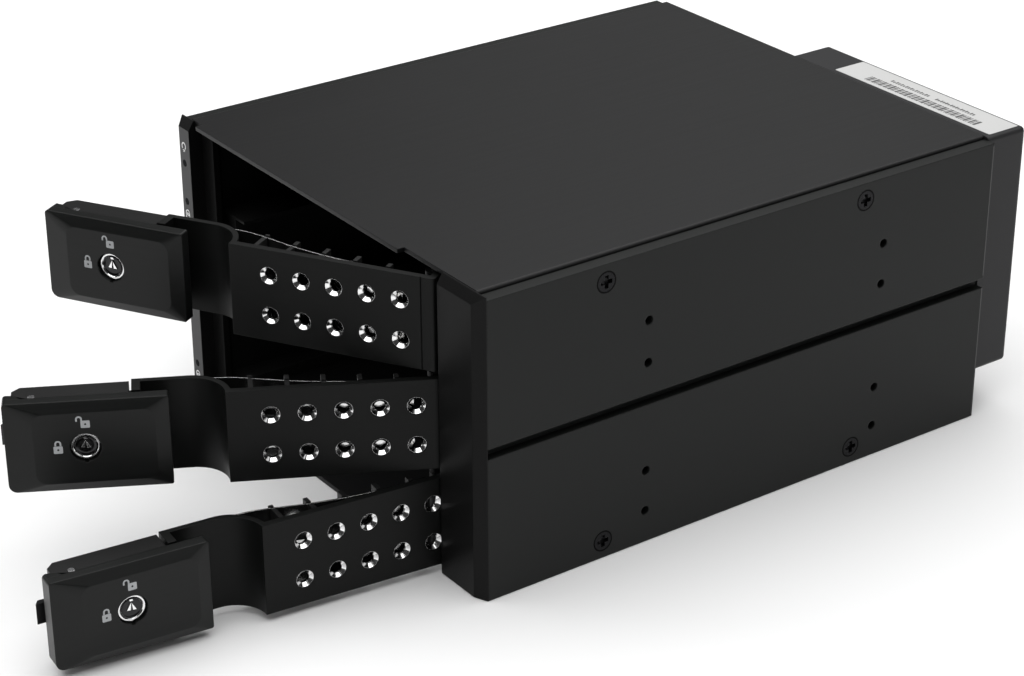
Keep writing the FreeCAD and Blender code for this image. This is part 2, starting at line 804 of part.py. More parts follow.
def door_screws():
    """Two screws that hold the housing to the arm and two rivets that hold the leaf to the liner."""
    pieces = []
    seat = arm_end - arm_flange_t
    for z in (-housing_screw_z, housing_screw_z):
        head = cylinder(housing_screw_head_r, uv(seat - housing_screw_head_t, housing_screw_v, z),
                        uv(seat, housing_screw_v, z))
        shank = cylinder(housing_screw_r, uv(seat, housing_screw_v, z),
                         uv(seat + housing_screw_l, housing_screw_v, z))
        pieces.append(fuse([head, shank]))
    leaf_back = liner_back_v() - leaf_t
    for z in (-rivet_z, rivet_z):
        head = cylinder(rivet_head_r, uv(rivet_u, leaf_back - rivet_head_t, z), uv(rivet_u, leaf_back, z))
        shank = cylinder(rivet_r, uv(rivet_u, leaf_back, z), uv(rivet_u, panel_back_v, z))
        pieces.append(fuse([head, shank]))
    return pieces


# ---------------------------------------------------------------- lock housing
def lock_housing():
    """A moulded tray on the arm's end, open to the lever, with the catch for the lock's cam."""
    back, rim, c = arm_back_v, housing_v, housing_corner
    shell = door_prism([(housing_start, back), (housing_end - c, back), (housing_end, back + c),
                        (housing_end, housing_rim_v), (pin_u + housing_rim_past_pin, rim), (housing_start, rim)],
                       -housing_half, housing_half)
    floor_v = back + housing_floor
    w, inner_half = housing_wall, housing_half - housing_wall
    hollow = door_prism([(housing_start + w, floor_v), (housing_end - w - c / 2, floor_v),
                         (housing_end - w, floor_v + c / 2), (housing_end - w, rim + 1),
                         (housing_start + w, rim + 1)], -inner_half, inner_half)
    slot = door_box(pin_u + hook_slot_past_pin, housing_end + 1, back - 1, rim + 1, -hook_half - hook_slot_gap,
                    hook_half + hook_slot_gap)
    tray = shell.cut([hollow, slot])
    pad_half = housing_half - housing_pad_edge
    pad = door_box(arm_end, housing_start, back + pad_inset, arm_flange_v - pad_inset,
                   -pad_half, pad_half)
    tail_end = lock_u + cam_tail_l
    shelf_v = cam_v + cam_t + catch_gap
    catch_end = tail_end + catch_gap + catch_wall
    pillar = door_box(catch_end - catch_wall, catch_end, floor_v, shelf_v, -catch_half, catch_half)
    shelf = door_box(tail_end - catch_bite, catch_end, shelf_v, shelf_v + catch_shelf_t,
                     -catch_half, catch_half)
    tray = fuse([tray, pad, pillar, shelf])
    tools = [cylinder(pin_r, uv(pin_u, pin_v, -housing_half - 1), uv(pin_u, pin_v, housing_half + 1))]
    for z in (-housing_screw_z, housing_screw_z):
        tools.append(cylinder(housing_screw_r, uv(arm_end - 1, housing_screw_v, z),
                              uv(housing_start + w + 0.5, housing_screw_v, z)))
    return cut(tray, tools)


def latch_pin():
    return cylinder(pin_r, uv(pin_u, pin_v, -housing_half), uv(pin_u, pin_v, housing_half))


# ---------------------------------------------------------------- latch lever
def lever_plate():
    """A bevelled plate with a lip round the housing's end and two ears that turn on the latch pin."""
    half = lever_l / 2
    outer = rounded_rect(lever_l, 2 * lever_half, lever_corners)
    outer.rotate(V(0, 0, 0), V(0, 1, 0), -math.degrees(math.asin(lever_rim_fall / lever_l)))
    outer.translate(V(0, 0, lever_rim_v - lever_rim_fall / 2))
    inner = rounded_rect(lever_l - lever_bevel_start - lever_bevel_end, 2 * (lever_half - lever_bevel_side),
                         [lever_inner_r] * 4)
    inner.translate(V((lever_bevel_end - lever_bevel_start) / 2, 0, lever_face_v))
    block = Part.Face(outer).extrude(V(0, 0, lever_lip_v - lever_rim_v))
    crown = Part.makeLoft([outer, inner], True, True)
    below = box(-half - 1, half + 1, -lever_half - 1, lever_half + 1, lever_lip_v - 1, lever_lip_v)
    behind = box(lever_lip_t - half, half + 1, -lever_half - 1, lever_half + 1, lever_lip_v - 1, lever_back_v)
    plate = cut(fuse([block, crown]), [below, behind])
    # drawn flat with X towards the hinge: stand it up so that its face looks forward
    plate.rotate(V(0, 0, 0), V(1, 0, 0), 90)
    plate.translate(uv(lever_end - half, 0))
    ears = []
    for side in (-1, 1):
        far = side * (housing_half - housing_wall - ear_gap)
        z0, z1 = sorted((far, far - side * ear_t))
        ear = fuse([cylinder(ear_r, uv(pin_u, pin_v, z0), uv(pin_u, pin_v, z1)),
                    door_box(pin_u - ear_r, pin_u + ear_r, pin_v, lever_back_v, z0, z1)])
        ears.append(ear)
    whole = fuse([plate] + ears)
    bore_r = lock_r + lock_gap
    bore = cylinder(bore_r, uv(lock_u, 0, 0), uv(lock_u, lever_face_v + 1, 0))
    notch = door_box(lock_u - lock_notch_w / 2, lock_u + lock_notch_w / 2, 0, lever_face_v + 1,
                     -bore_r - lock_notch_h, 0)
    pin_hole = cylinder(pin_r + pin_gap, uv(pin_u, pin_v, -housing_half), uv(pin_u, pin_v, housing_half))
    return cut(whole, [bore, notch, pin_hole])


def latch_hook():
    """The steel hook on the lever's back: its nose lies behind the strike's lip when the door is shut."""
    tip_u = strike_edge_u + hook_reach
    nose_v = strike_back_v - hook_lip_gap
    nose_back_v = nose_v - hook_nose_t
    shank_u = lever_end - lever_lip_t
    outline = [(shank_u - hook_foot, lever_back_v), (shank_u, lever_back_v), (shank_u, nose_v),
               (tip_u, nose_v), (tip_u - hook_nose_rake, nose_back_v), (shank_u - hook_shank_t, nose_back_v),
               (shank_u - hook_shank_t - hook_heel, nose_v + hook_heel)]
    return door_prism(outline, -hook_half, hook_half)


# ---------------------------------------------------------------- key lock
def lock_cylinder():
    """A polished barrel with a dished face and an arrow-shaped keyway that points up when unlocked."""
    face = lever_face_v - lock_face_inset
    barrel = cylinder(lock_r, uv(lock_u, lock_back_v, 0), uv(lock_u, face, 0))
    stub = cylinder(lock_stub_r, uv(lock_u, lock_back_v - lock_stub_l, 0), uv(lock_u, lock_back_v, 0))
    whole = fuse([barrel, stub])
    dish = Part.makeCone(lock_dish_r - lock_dish, lock_dish_r + lock_dish, 2 * lock_dish,
                         uv(lock_u, face - lock_dish, 0), V(0, -1, 0))
    tip, foot, half, notch = key_slot_tip, key_slot_foot, key_slot_w / 2, key_slot_notch
    floor = face - lock_dish - key_slot_depth
    arrow = [(lock_u, tip), (lock_u + half, -foot), (lock_u, notch - foot), (lock_u - half, -foot)]
    keyway = polygon([uv(u, floor, z) for u, z in arrow]).extrude(V(0, -key_slot_depth - 1, 0))
    return cut(whole, [dish, keyway])


def lock_cam():
    disc = cylinder(cam_r, uv(lock_u, cam_v, 0), uv(lock_u, cam_v + cam_t, 0))
    tail = door_box(lock_u - cam_tail_w / 2, lock_u + cam_tail_w / 2, cam_v, cam_v + cam_t, 0, cam_tail_l)
    hole = cylinder(lock_stub_r, uv(lock_u, cam_v - 1, 0), uv(lock_u, cam_v + cam_t, 0))
    return cut(fuse([disc, tail]), [hole])


# ---------------------------------------------------------------- drive guides
def guide_outline(side):
    """(x, z) outline pieces of one guide: a spine, three shelves and their blocks and lips."""
    spine_out = side * flange_in
    spine_in = side * (flange_in - guide_t)
    bay = bay_right if side > 0 else bay_left
    low, high = inside_low + post_gap, inside_high - post_gap
    levels = [low + guide_block_h] + shelf_z
    pieces = [(spine_out, spine_in, low, high)]
    for i, top in enumerate(levels):
        pieces.append((spine_in, bay, top - guide_t, top))
        pieces.append((bay + side * guide_block_w, bay, top - guide_block_h, top))
        if i:
            pieces.append((bay, bay - side * guide_lip_w, top - guide_lip_t, top))
    return pieces


def drive_guide(side):
    front = post_back + bracket_t + guide_front_gap if side > 0 else post_back + guide_front_gap
    slabs = []
    for xa, xb, z0, z1 in guide_outline(side):
        x0, x1 = sorted((xa, xb))
        slabs.append(box(x0, x1, front, board_y, z0, z1))
    whole = fuse(slabs)
    tools = []
    for y, z in side_screw_places():
        inner = V(side * (flange_in - guide_t - 1), y, z)
        tools.append(cylinder(side_screw_r, V(side * half_w, y, z), inner))
    for x, z in board_screw_places():
        if x * side > 0:
            bottom = V(x, board_y - board_screw_l - 0.5, z)
            tools.append(cylinder(board_screw_r, bottom, V(x, board_y + 1, z)))
    return cut(whole, tools)


# ---------------------------------------------------------------- backplane
def board_screw_places():
    left = bay_left - guide_block_w / 2
    right = bay_right + guide_block_w / 2
    return [(x, z - guide_block_h / 2) for x in (left, right) for z in shelf_z]


def backplane_board():
    half = flange_in - guide_t - board_edge
    board = box(-half, half, board_y, board_y + board_t, inside_low + board_edge, inside_high - board_edge)
    tools = []
    first = (bay_left + bay_right) / 2 - (vent_count - 1) / 2 * vent_pitch
    for z in [door_z[0] + door_pitch / 2 + i * door_pitch for i in range(2)]:
        for c in range(vent_count):
            x = first + c * vent_pitch
            slot = box(x - vent_w / 2, x + vent_w / 2, board_y - 1, board_y + board_t + 1,
                       z - vent_drop - vent_h / 2, z - vent_drop + vent_h / 2)
            tools.append(slot)
    for x, z in board_screw_places():
        front, back = V(x, board_y - 1, z), V(x, board_y + board_t + 1, z)
        tools.append(cylinder(board_screw_r + screw_gap, front, back))
    return cut(board, tools)


def board_screws():
    screws = []
    seat = board_y + board_t
    for x, z in board_screw_places():
        head = cylinder(board_screw_head_r, V(x, seat, z), V(x, seat + board_screw_head_t, z))
        shank = cylinder(board_screw_r, V(x, board_y - board_screw_l, z), V(x, seat, z))
        screws.append(fuse([head, shank]))
    return screws


def drive_connector(k):
    """A drive plug on the backplane: a block with the blade slot and its keyed step."""
    x = drive_left + plug_inset
    z = door_z[k] - drive_h / 2 + plug_lift
    block = box(x - plug_w / 2, x + plug_w / 2, board_y - plug_l, board_y, z - plug_h / 2, z + plug_h / 2)
    a = plug_w / 2 - plug_rib
    slot = box(x - a, x + a, board_y - plug_l - 1, board_y - plug_l + plug_slot_l,
               z - plug_slot_h / 2, z + plug_slot_h / 2)
    step = box(x - a, x - a + plug_slot_h, board_y - plug_l - 1, board_y - plug_l + plug_slot_l,
               z, z + plug_slot_h * 1.3)
    wall = box(x - plug_slot_h / 2, x + plug_slot_h / 2, board_y - plug_l, board_y - plug_l + plug_slot_l,
               z - plug_slot_h / 2, z + plug_slot_h / 2)
    return fuse([block.cut([slot, step]), wall])


def data_socket(z):
    """A seven-way data socket whose L-shaped blade slot opens to the rear."""
    y0 = board_y + board_t
    block = box(data_x - data_w / 2, data_x + data_w / 2, y0, y0 + data_l, z - data_h / 2, z + data_h / 2)
    a = data_w / 2 - data_wall
    slot = box(data_x - a, data_x + a, y0 + data_l - data_slot_l, y0 + data_l + 1,
               z - data_slot_h / 2, z + data_slot_h / 2)
    key = box(data_x + a - data_slot_h, data_x + a, y0 + data_l - data_slot_l, y0 + data_l + 1,
              z, z + data_h / 2 - data_wall / 2)
    return block.cut([slot, key])


def data_connectors():
    return [data_socket(z) for z in door_z]


def power_places():
    return [(power_x, (door_z[i] + door_z[i + 1]) / 2) for i in range(2)]


def power_socket(x, z):
    """A four-pin power socket: a shell with two cut corners round four round pins."""
    y0 = board_y + board_t
    y1 = y0 + power_l
    block = box(x - power_w / 2, x + power_w / 2, y0, y1, z - power_h / 2, z + power_h / 2)
    a, b, c = power_w / 2 - power_wall, power_h / 2 - power_wall, power_wall * 1.6
    mouth = prism_y([(x - a, z - b), (x + a, z - b), (x + a, z + b - c), (x + a - c, z + b),
                     (x - a + c, z + b), (x - a, z + b - c)], y1 - power_depth, y1 + 1)
    pins = []
    for i in range(power_pins):
        px = x + (i - (power_pins - 1) / 2) * power_pin_pitch
        pins.append(cylinder(power_pin_r, V(px, y1 - power_depth - 0.5, z), V(px, y1 - 1.5, z)))
    return fuse([block.cut(mouth)] + pins)


def power_connectors():
    return [power_socket(x, z) for x, z in power_places()]


def rear_panel():
    """The sheet across the rear, with windows for the sockets and the fan, and folded sides."""
    y0, y1 = rear_panel_y, rear_panel_y + rear_panel_t
    low, high = inside_low + post_gap, inside_high - post_gap
    sheet = box(-flange_in, flange_in, y0, y1, low, high)
    folds = []
    for side in (-1, 1):
        x0, x1 = sorted((side * flange_in, side * (flange_in - rear_panel_t)))
        folds.append(box(x0, x1, y0 - rear_flange, y0, low, high))
    g = socket_gap
    tools = []
    for z in door_z:
        tools.append(box(data_x - data_w / 2 - g, data_x + data_w / 2 + g, y0 - 1, y1 + 1,
                         z - data_h / 2 - g, z + data_h / 2 + g))
    for x, z in power_places():
        tools.append(box(x - power_w / 2 - g, x + power_w / 2 + g, y0 - 1, y1 + 1,
                         z - power_h / 2 - g, z + power_h / 2 + g))
    f = fan_size / 2 + fan_gap
    tools.append(box(fan_x - f, fan_x + f, y0 - 1, y1 + 1, fan_z - f, fan_z + f))
    tools += [cylinder(shroud_screw_r, V(x, y0 - 1, z), V(x, y1 + 1, z)) for x, z in shroud_screw_places()]
    return cut(fuse([sheet] + folds), tools)


# ---------------------------------------------------------------- fan shroud
def shroud_screw_places():
    x = shroud_left - shroud_flange_w / 2
    return [(x, fan_z - shroud_screw_z), (x, fan_z + shroud_screw_z)]


def fan_shroud():
    """A folded box on the rear panel, open towards the chassis, with a side flange for its screws."""
    panel_back = rear_panel_y + rear_panel_t
    outer = box(shroud_left, shroud_right, panel_back, shroud_back, shroud_low, shroud_top)
    bends = [e for e in outer.Edges if e.CenterOfMass.y > shroud_back - 0.01]
    bends += [e for e in outer.Edges if abs(e.tangentAt(e.FirstParameter).y) > 0.99]
    outer = outer.makeFillet(shroud_r, bends)
    t = shroud_t
    inner = box(shroud_left + t, shroud_right - t, panel_back - shroud_r, shroud_back - t,
                shroud_low + t, shroud_top - t)
    bends = [e for e in inner.Edges if e.CenterOfMass.y > shroud_back - t - 0.01]
    bends += [e for e in inner.Edges if abs(e.tangentAt(e.FirstParameter).y) > 0.99]
    inner = inner.makeFillet(shroud_r - t, bends)
    flange = box(shroud_left - shroud_flange_w, shroud_left + t, panel_back, panel_back + t,
                 fan_z - shroud_flange_h / 2, fan_z + shroud_flange_h / 2)
    whole = fuse([outer.cut(inner), flange])
    tools = [cylinder(fan_bore_r, V(fan_x, shroud_back - 5, fan_z), V(fan_x, shroud_back + 1, fan_z))]
    for x, z in fan_hole_places():
        tools.append(cylinder(fan_hole_r, V(x, shroud_back - 5, z), V(x, shroud_back + 1, z)))
    for x, z in shroud_screw_places():
        front, back = V(x, panel_back - 1, z), V(x, panel_back + t + 1, z)
        tools.append(cylinder(shroud_screw_r + screw_gap, front, back))
    return cut(whole, tools)


def fan_hole_places():
    return [(fan_x + a * fan_hole, fan_z + b * fan_hole) for a in (-1, 1) for b in (-1, 1)]


def pan_screw(x, z, seat, length, r):
    """A screw with a bevelled head and a cross recess that points forward from its seat."""
    head_r, head_t, bevel = pan_head_r, pan_head_t, pan_head_bevel
    head = fuse([cylinder(head_r, V(x, seat, z), V(x, seat + head_t - bevel, z)),
                 Part.makeCone(head_r, head_r - bevel, bevel, V(x, seat + head_t - bevel, z), V(0, 1, 0))])
    screw = fuse([head, cylinder(r, V(x, seat - length, z), V(x, seat, z))])
    recess = [box(x - a, x + a, seat + head_t - pan_cross_depth, seat + head_t + 1, z - b, z + b)
              for a, b in ((pan_cross_l, pan_cross_w), (pan_cross_w, pan_cross_l))]
    return cut(screw, recess)


def fan_screws():
    """Four screws through the guard and shroud into the fan, and two through the shroud's flange."""
    screws = [pan_screw(x, z, shroud_back + guard_t, guard_t + shroud_t + fan_flange_t, shroud_screw_r)
              for x, z in fan_hole_places()]
    flange_back = rear_panel_y + rear_panel_t + shroud_t
    screws += [pan_screw(x, z, flange_back, shroud_screw_l, shroud_screw_r - screw_gap)
               for x, z in shroud_screw_places()]
    return screws


# ---------------------------------------------------------------- fan
def fan_frame():
    """Two square flanges joined by a round duct, with the motor's plate on struts at the rear."""
    h = fan_size / 2
    square = Part.Face(rounded_rect(fan_size, fan_size, [fan_corner_r] * 4))
    square.rotate(V(0, 0, 0), V(1, 0, 0), -90)
    slabs = []
    for y in (fan_front, fan_back - fan_flange_t):
        slab = square.extrude(V(0, fan_flange_t, 0))
        slab.translate(V(fan_x, y, fan_z))
        slabs.append(slab)
    duct = cylinder(fan_bore_r + fan_ring_t, V(fan_x, fan_front, fan_z), V(fan_x, fan_back, fan_z))
    whole = fuse(slabs + [duct]).cut(cylinder(fan_bore_r, V(fan_x, fan_front - 1, fan_z),
                                              V(fan_x, fan_back + 1, fan_z)))
    y0 = fan_back - fan_strut_t
    plate = cylinder(fan_hub_r, V(fan_x, y0, fan_z), V(fan_x, fan_back, fan_z))
    struts = []
    for i in range(4):
        strut = box(fan_hub_r - 1, fan_bore_r + fan_ring_t / 2, y0, fan_back,
                    -fan_strut_w / 2, fan_strut_w / 2)
        strut.rotate(V(0, 0, 0), V(0, 1, 0), fan_strut_deg + 90 * i)
        strut.translate(V(fan_x, 0, fan_z))
        struts.append(strut)
    whole = fuse([whole, plate] + struts)
    tools = [cylinder(fan_shaft_r + fan_shaft_gap, V(fan_x, y0 - 1, fan_z), V(fan_x, fan_back + 1, fan_z))]
    for x, z in fan_hole_places():
        tools.append(cylinder(fan_hole_r, V(x, fan_front - 1, z), V(x, fan_back + 1, z)))
    return cut(whole, tools)


def blade_section(r, chord, pitch_deg):
    """A thin curved-sided section at radius r, on the far side of the fan's axis."""
    a = math.radians(pitch_deg)
    along = V(0, math.sin(a), math.cos(a))
    across = V(0, math.cos(a), -math.sin(a))
    centre = V(r, 0, 0)
    ends = [centre + along * (s * chord / 2) for s in (-1, 1)]
    bulge = chord * 0.08
    front = centre + across * (bulge + fan_blade_t / 2)
    back = centre + across * (bulge - fan_blade_t / 2)
    arcs = [Part.Arc(ends[0], front, ends[1]), Part.Arc(ends[1], back, ends[0])]
    return Part.Wire([arc.toShape() for arc in arcs])


def fan_rotor():
    """The hub, its shaft and the twisted blades, turning on the fan's Y axis."""
    y1 = fan_back - fan_strut_t - fan_axial_gap
    y0 = y1 - fan_hub_l
    hub = cylinder(fan_hub_r, V(0, y0, 0), V(0, y1, 0))
    hub = hub.makeFillet(1.2, [e for e in hub.Edges if e.CenterOfMass.y < y0 + 0.01])
    shaft = cylinder(fan_shaft_r, V(0, y1 - 1, 0), V(0, fan_back - 0.3, 0))
    tip_r = fan_bore_r - fan_tip_gap
    mid_y = (y0 + y1) / 2
    blade = Part.makeLoft([blade_section(fan_hub_r - 1.5, fan_root_chord, fan_root_deg),
                           blade_section(tip_r - 0.7, fan_tip_chord, fan_tip_deg)], True, True)
    blade.translate(V(0, mid_y, 0))
    shapes = [hub, shaft]
    for i in range(fan_blades):
        copy = blade.copy()
        copy.rotate(V(0, 0, 0), V(0, 1, 0), 360.0 * i / fan_blades)
        shapes.append(copy)
    rotor = fuse(shapes)
    rotor = rotor.common(cylinder(tip_r, V(0, fan_front - fan_t, 0), V(0, fan_back, 0)))
    rotor.translate(V(fan_x, 0, fan_z))
    return rotor


def fan_guard():
    """A flat guard of rings and two crossed bars that end in screw eyes."""
    y0, y1 = shroud_back, shroud_back + guard_t
    shapes = []
    for i in range(1, guard_rings + 1):
        r = guard_pitch * i
        ring = cylinder(r + guard_wire / 2, V(fan_x, y0, fan_z), V(fan_x, y1, fan_z))
        bore = cylinder(r - guard_wire / 2, V(fan_x, y0 - 1, fan_z), V(fan_x, y1 + 1, fan_z))
        shapes.append(ring.cut(bore))
    reach = fan_hole * math.sqrt(2)
    for deg in (45, 135):
        bar = box(-reach, reach, y0, y1, -guard_wire / 2, guard_wire / 2)
        bar.rotate(V(0, 0, 0), V(0, 1, 0), deg)
        bar.translate(V(fan_x, 0, fan_z))
        shapes.append(bar)
    for x, z in fan_hole_places():
        shapes.append(cylinder(guard_eye_r, V(x, y0, z), V(x, y1, z)))
    holes = [cylinder(fan_hole_r, V(x, y0 - 1, z), V(x, y1 + 1, z)) for x, z in fan_hole_places()]
    return cut(fuse(shapes), holes)


# ---------------------------------------------------------------- build
def main():
    os.makedirs(PARTS, exist_ok=True)
    export("side_plate_right", side_plate(1))
    export("side_plate_left", side_plate(-1))
    export("side_screws", side_screws())
    export("top_cover", cover())
    export("bottom_cover", bottom_cover())
    export("post_right", post(post_right_w, post_chamfer, post_relief, False))
    export("post_left", post_left())
    export("led_board", led_board())
    export("light_pipes", light_pipes())
    export("strike_strip", strike_strip())
    export("hinge_bracket", hinge_bracket())
    export("bracket_screws", bracket_screws())
    export("hinge_rod", hinge_rod())
    export("guide_left", drive_guide(-1))
    export("guide_right", drive_guide(1))
    export("backplane_board", backplane_board())
    export("board_screws", board_screws())
    export("data_connectors", data_connectors())
    export("power_connectors", power_connectors())
    export("rear_panel", rear_panel())
    export("fan_shroud", fan_shroud())
    export("fan_screws", fan_screws())
    export("fan_frame", fan_frame())
    export("fan_rotor", fan_rotor())
    export("fan_guard", fan_guard())

    door_pieces = {
        "door_%d_panel": door_panel(), "door_%d_liner": door_liner(), "door_%d_leaf": leaf_spring(),
        "door_%d_screws": door_screws(), "door_%d_housing": lock_housing(), "door_%d_pin": latch_pin(),
        "latch_%d_lever": lever_plate(), "latch_%d_hook": latch_hook(),
        "lock_%d_cylinder": lock_cylinder(), "lock_%d_cam": lock_cam(),
    }
    for k in range(3):
        export("drive_connector_%d" % (k + 1), drive_connector(k))
        for name, made in door_pieces.items():
            shapes = made if isinstance(made, list) else [made]
            export(name % (k + 1), [place_on_door(s, k) for s in shapes])


main()
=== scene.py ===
import json
import math

import bmesh
import bpy
from mathutils import Matrix, Vector


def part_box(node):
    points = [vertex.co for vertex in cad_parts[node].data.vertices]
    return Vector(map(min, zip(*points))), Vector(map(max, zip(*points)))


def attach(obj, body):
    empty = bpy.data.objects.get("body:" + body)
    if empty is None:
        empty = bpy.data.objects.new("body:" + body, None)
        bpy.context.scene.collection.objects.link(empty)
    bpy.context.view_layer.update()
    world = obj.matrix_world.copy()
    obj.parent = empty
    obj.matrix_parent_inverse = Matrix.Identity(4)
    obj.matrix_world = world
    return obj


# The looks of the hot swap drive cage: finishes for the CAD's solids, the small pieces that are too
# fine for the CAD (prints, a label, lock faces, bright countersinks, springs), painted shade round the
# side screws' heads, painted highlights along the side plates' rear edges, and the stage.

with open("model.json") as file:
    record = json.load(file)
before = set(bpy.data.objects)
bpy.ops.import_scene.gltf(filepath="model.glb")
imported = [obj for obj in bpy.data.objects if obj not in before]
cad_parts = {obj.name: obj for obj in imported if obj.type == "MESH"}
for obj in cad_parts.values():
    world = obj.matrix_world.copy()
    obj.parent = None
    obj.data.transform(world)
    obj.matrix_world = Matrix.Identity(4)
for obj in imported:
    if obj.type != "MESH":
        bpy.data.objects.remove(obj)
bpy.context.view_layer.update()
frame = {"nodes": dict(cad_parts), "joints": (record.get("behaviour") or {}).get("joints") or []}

MM = 0.001
DOORS = (1, 2, 3)
JOINTS = {joint["name"]: joint for joint in frame["joints"]}


def xyz(x, y, z):
    """A place or a step in the part's own frame, given in millimetres."""
    return Vector((x, y, z)) * MM


# ---------------------------------------------------------------- places on a door
# A door is measured as in the CAD: u from the hinge towards the free end, v in front of the hinge
# axis and z from the door's mid height, all in millimetres.
def door_angle(k):
    """How far door k stands open at rest, in radians."""
    return math.radians(-JOINTS["door_%d_hinge" % k]["range_deg"][0])


def door_matrix(k):
    """Carries (-u, -v, z) in metres to door k's place at rest."""
    hinge = Matrix.Translation(JOINTS["door_%d_hinge" % k]["pos_m"])
    return hinge @ Matrix.Rotation(door_angle(k), 4, "Z")


def uvz(u, v, z):
    return Vector((-u, -v, z)) * MM


def door_names(pattern):
    return [pattern % k for k in DOORS]


# ---------------------------------------------------------------- material nodes
NOISE_LOW, NOISE_HIGH = 0.25, 0.75     # the range that most of a noise's values lie in


def new_material(name):
    material = bpy.data.materials.new(name)
    material.use_nodes = True
    tree = material.node_tree
    tree.nodes.clear()
    output = tree.nodes.new("ShaderNodeOutputMaterial")
    shader = tree.nodes.new("ShaderNodeBsdfPrincipled")
    tree.links.new(shader.outputs["BSDF"], output.inputs["Surface"])
    return material, tree, shader


def feed(tree, socket, value):
    """Links a node's input to another node's output, or sets it to a plain value."""
    if isinstance(value, bpy.types.NodeSocket):
        tree.links.new(value, socket)
    else:
        socket.default_value = value


def node(tree, kind, **sockets):
    """A node with its named inputs fed."""
    made = tree.nodes.new(kind)
    for name, value in sockets.items():
        feed(tree, made.inputs[name.replace("_", " ")], value)
    return made


def maths(tree, operation, a, b=0.0, c=0.0):
    made = tree.nodes.new("ShaderNodeMath")
    made.operation = operation
    for i, value in enumerate((a, b, c)):
        feed(tree, made.inputs[i], value)
    return made.outputs[0]


def coordinates(tree, turn=0.0, stretch=(1.0, 1.0, 1.0)):
    """The piece's own coordinates in metres, turned about Z and then stretched."""
    place = tree.nodes.new("ShaderNodeTexCoord").outputs["Object"]
    if turn:
        straight = node(tree, "ShaderNodeMapping", Vector=place, Rotation=(0.0, 0.0, -turn))
        place = straight.outputs["Vector"]
    return node(tree, "ShaderNodeMapping", Vector=place, Scale=stretch).outputs["Vector"]


def noise(tree, vector, scale, detail=3.0, roughness=0.55):
    made = node(tree, "ShaderNodeTexNoise", Vector=vector, Scale=scale, Detail=detail,
                Roughness=roughness)
    return made.outputs["Fac"]


def swing(tree, value, centre, amount):
    """Carries a noise's range onto centre - amount to centre + amount, kept between 0 and 1."""
    made = node(tree, "ShaderNodeMapRange", Value=value, From_Min=NOISE_LOW, From_Max=NOISE_HIGH,
                To_Min=max(0.0, centre - amount), To_Max=min(1.0, centre + amount))
    return made.outputs["Result"]


def mix(tree, factor, one, two):
    """Colour one where factor is 0 and colour two where it is 1."""
    made = tree.nodes.new("ShaderNodeMix")
    made.data_type = "RGBA"
    sockets = {s.identifier: s for s in made.inputs}
    feed(tree, sockets["Factor_Float"], factor)
    feed(tree, sockets["A_Color"], one)
    feed(tree, sockets["B_Color"], two)
    return {s.identifier: s for s in made.outputs}["Result_Color"]


def tint(tree, value, dark, light):
    """A colour between dark and light as a noise's value goes from low to high."""
    return mix(tree, swing(tree, value, 0.5, 0.5), (*dark, 1.0), (*light, 1.0))


def shade(colour, factor):
    return tuple(min(1.0, c * factor) for c in colour)


def mottle(tree, value, colour, patch):
    """The colour, made darker and lighter by the share patch."""
    return tint(tree, value, shade(colour, 1 - patch), shade(colour, 1 + patch))


# ---------------------------------------------------------------- materials
PATCH_SCALE = 35.0          # patches of tone about 30 mm wide
SPECK_SCALE = 2600.0        # specks about 0.4 mm wide
PATCH_SHARE = 0.6           # of the tone, and the specks have the rest
GRAIN_SHARE = 0.6           # of the tone on a piece with grain
ROUGH_SWING = 0.05
FRONT_NORMAL = -0.9         # a face is a front one where its normal's Y is below this
BEVEL_SAMPLES = 6


def over_front(tree, base, film):
    """The film's colour on the faces that look along -Y and the base's on all others."""
    normal = tree.nodes.new("ShaderNodeTexCoord").outputs["Normal"]
    facing = node(tree, "ShaderNodeSeparateXYZ", Vector=normal)
    is_front = maths(tree, "LESS_THAN", facing.outputs["Y"], FRONT_NORMAL)
    return mix(tree, is_front, base, film)


def surface(name, colour, rough, turn=0.0, grain=None, grain_depth=0.0, speck=0.0,
            speck_scale=SPECK_SCALE, patch=0.12, metallic=0.0, specular=0.2, edge=0.25, front=None):
    """A solid's finish: grain and specks in its bump, patches in colour and roughness, softened edges.

    grain stretches the noise along the piece's axes, so a low value is the way that the grain runs.
    The depths are in millimetres, and edge is the radius that its sharp edges seem to have. front is
    the colour of a film on the faces that look along -Y.
    """
    material, tree, shader = new_material(name)
    plain = coordinates(tree, turn)
    patches = noise(tree, plain, PATCH_SCALE, detail=4.0)
    specks = noise(tree, plain, speck_scale, detail=2.0)
    height = maths(tree, "MULTIPLY", specks, speck)
    speck_tone = maths(tree, "MULTIPLY", specks, 1 - PATCH_SHARE)
    tone = maths(tree, "MULTIPLY_ADD", patches, PATCH_SHARE, speck_tone)
    if grain:
        lines = noise(tree, coordinates(tree, turn, grain), 1.0, detail=5.0, roughness=0.7)
        height = maths(tree, "MULTIPLY_ADD", lines, grain_depth, height)
        plain_tone = maths(tree, "MULTIPLY", tone, 1 - GRAIN_SHARE)
        tone = maths(tree, "MULTIPLY_ADD", lines, GRAIN_SHARE, plain_tone)
    base = mottle(tree, tone, colour, patch)
    if front:
        base = over_front(tree, base, mottle(tree, tone, front, patch))
    rounded = node(tree, "ShaderNodeBevel", Radius=edge * MM)
    rounded.samples = BEVEL_SAMPLES
    bump = node(tree, "ShaderNodeBump", Height=height, Strength=1.0, Distance=MM,
                Normal=rounded.outputs["Normal"])
    tree.links.new(base, shader.inputs["Base Color"])
    tree.links.new(swing(tree, tone, rough, ROUGH_SWING), shader.inputs["Roughness"])
    tree.links.new(bump.outputs["Normal"], shader.inputs["Normal"])
    shader.inputs["Metallic"].default_value = metallic
    shader.inputs["Specular IOR Level"].default_value = specular
    return material


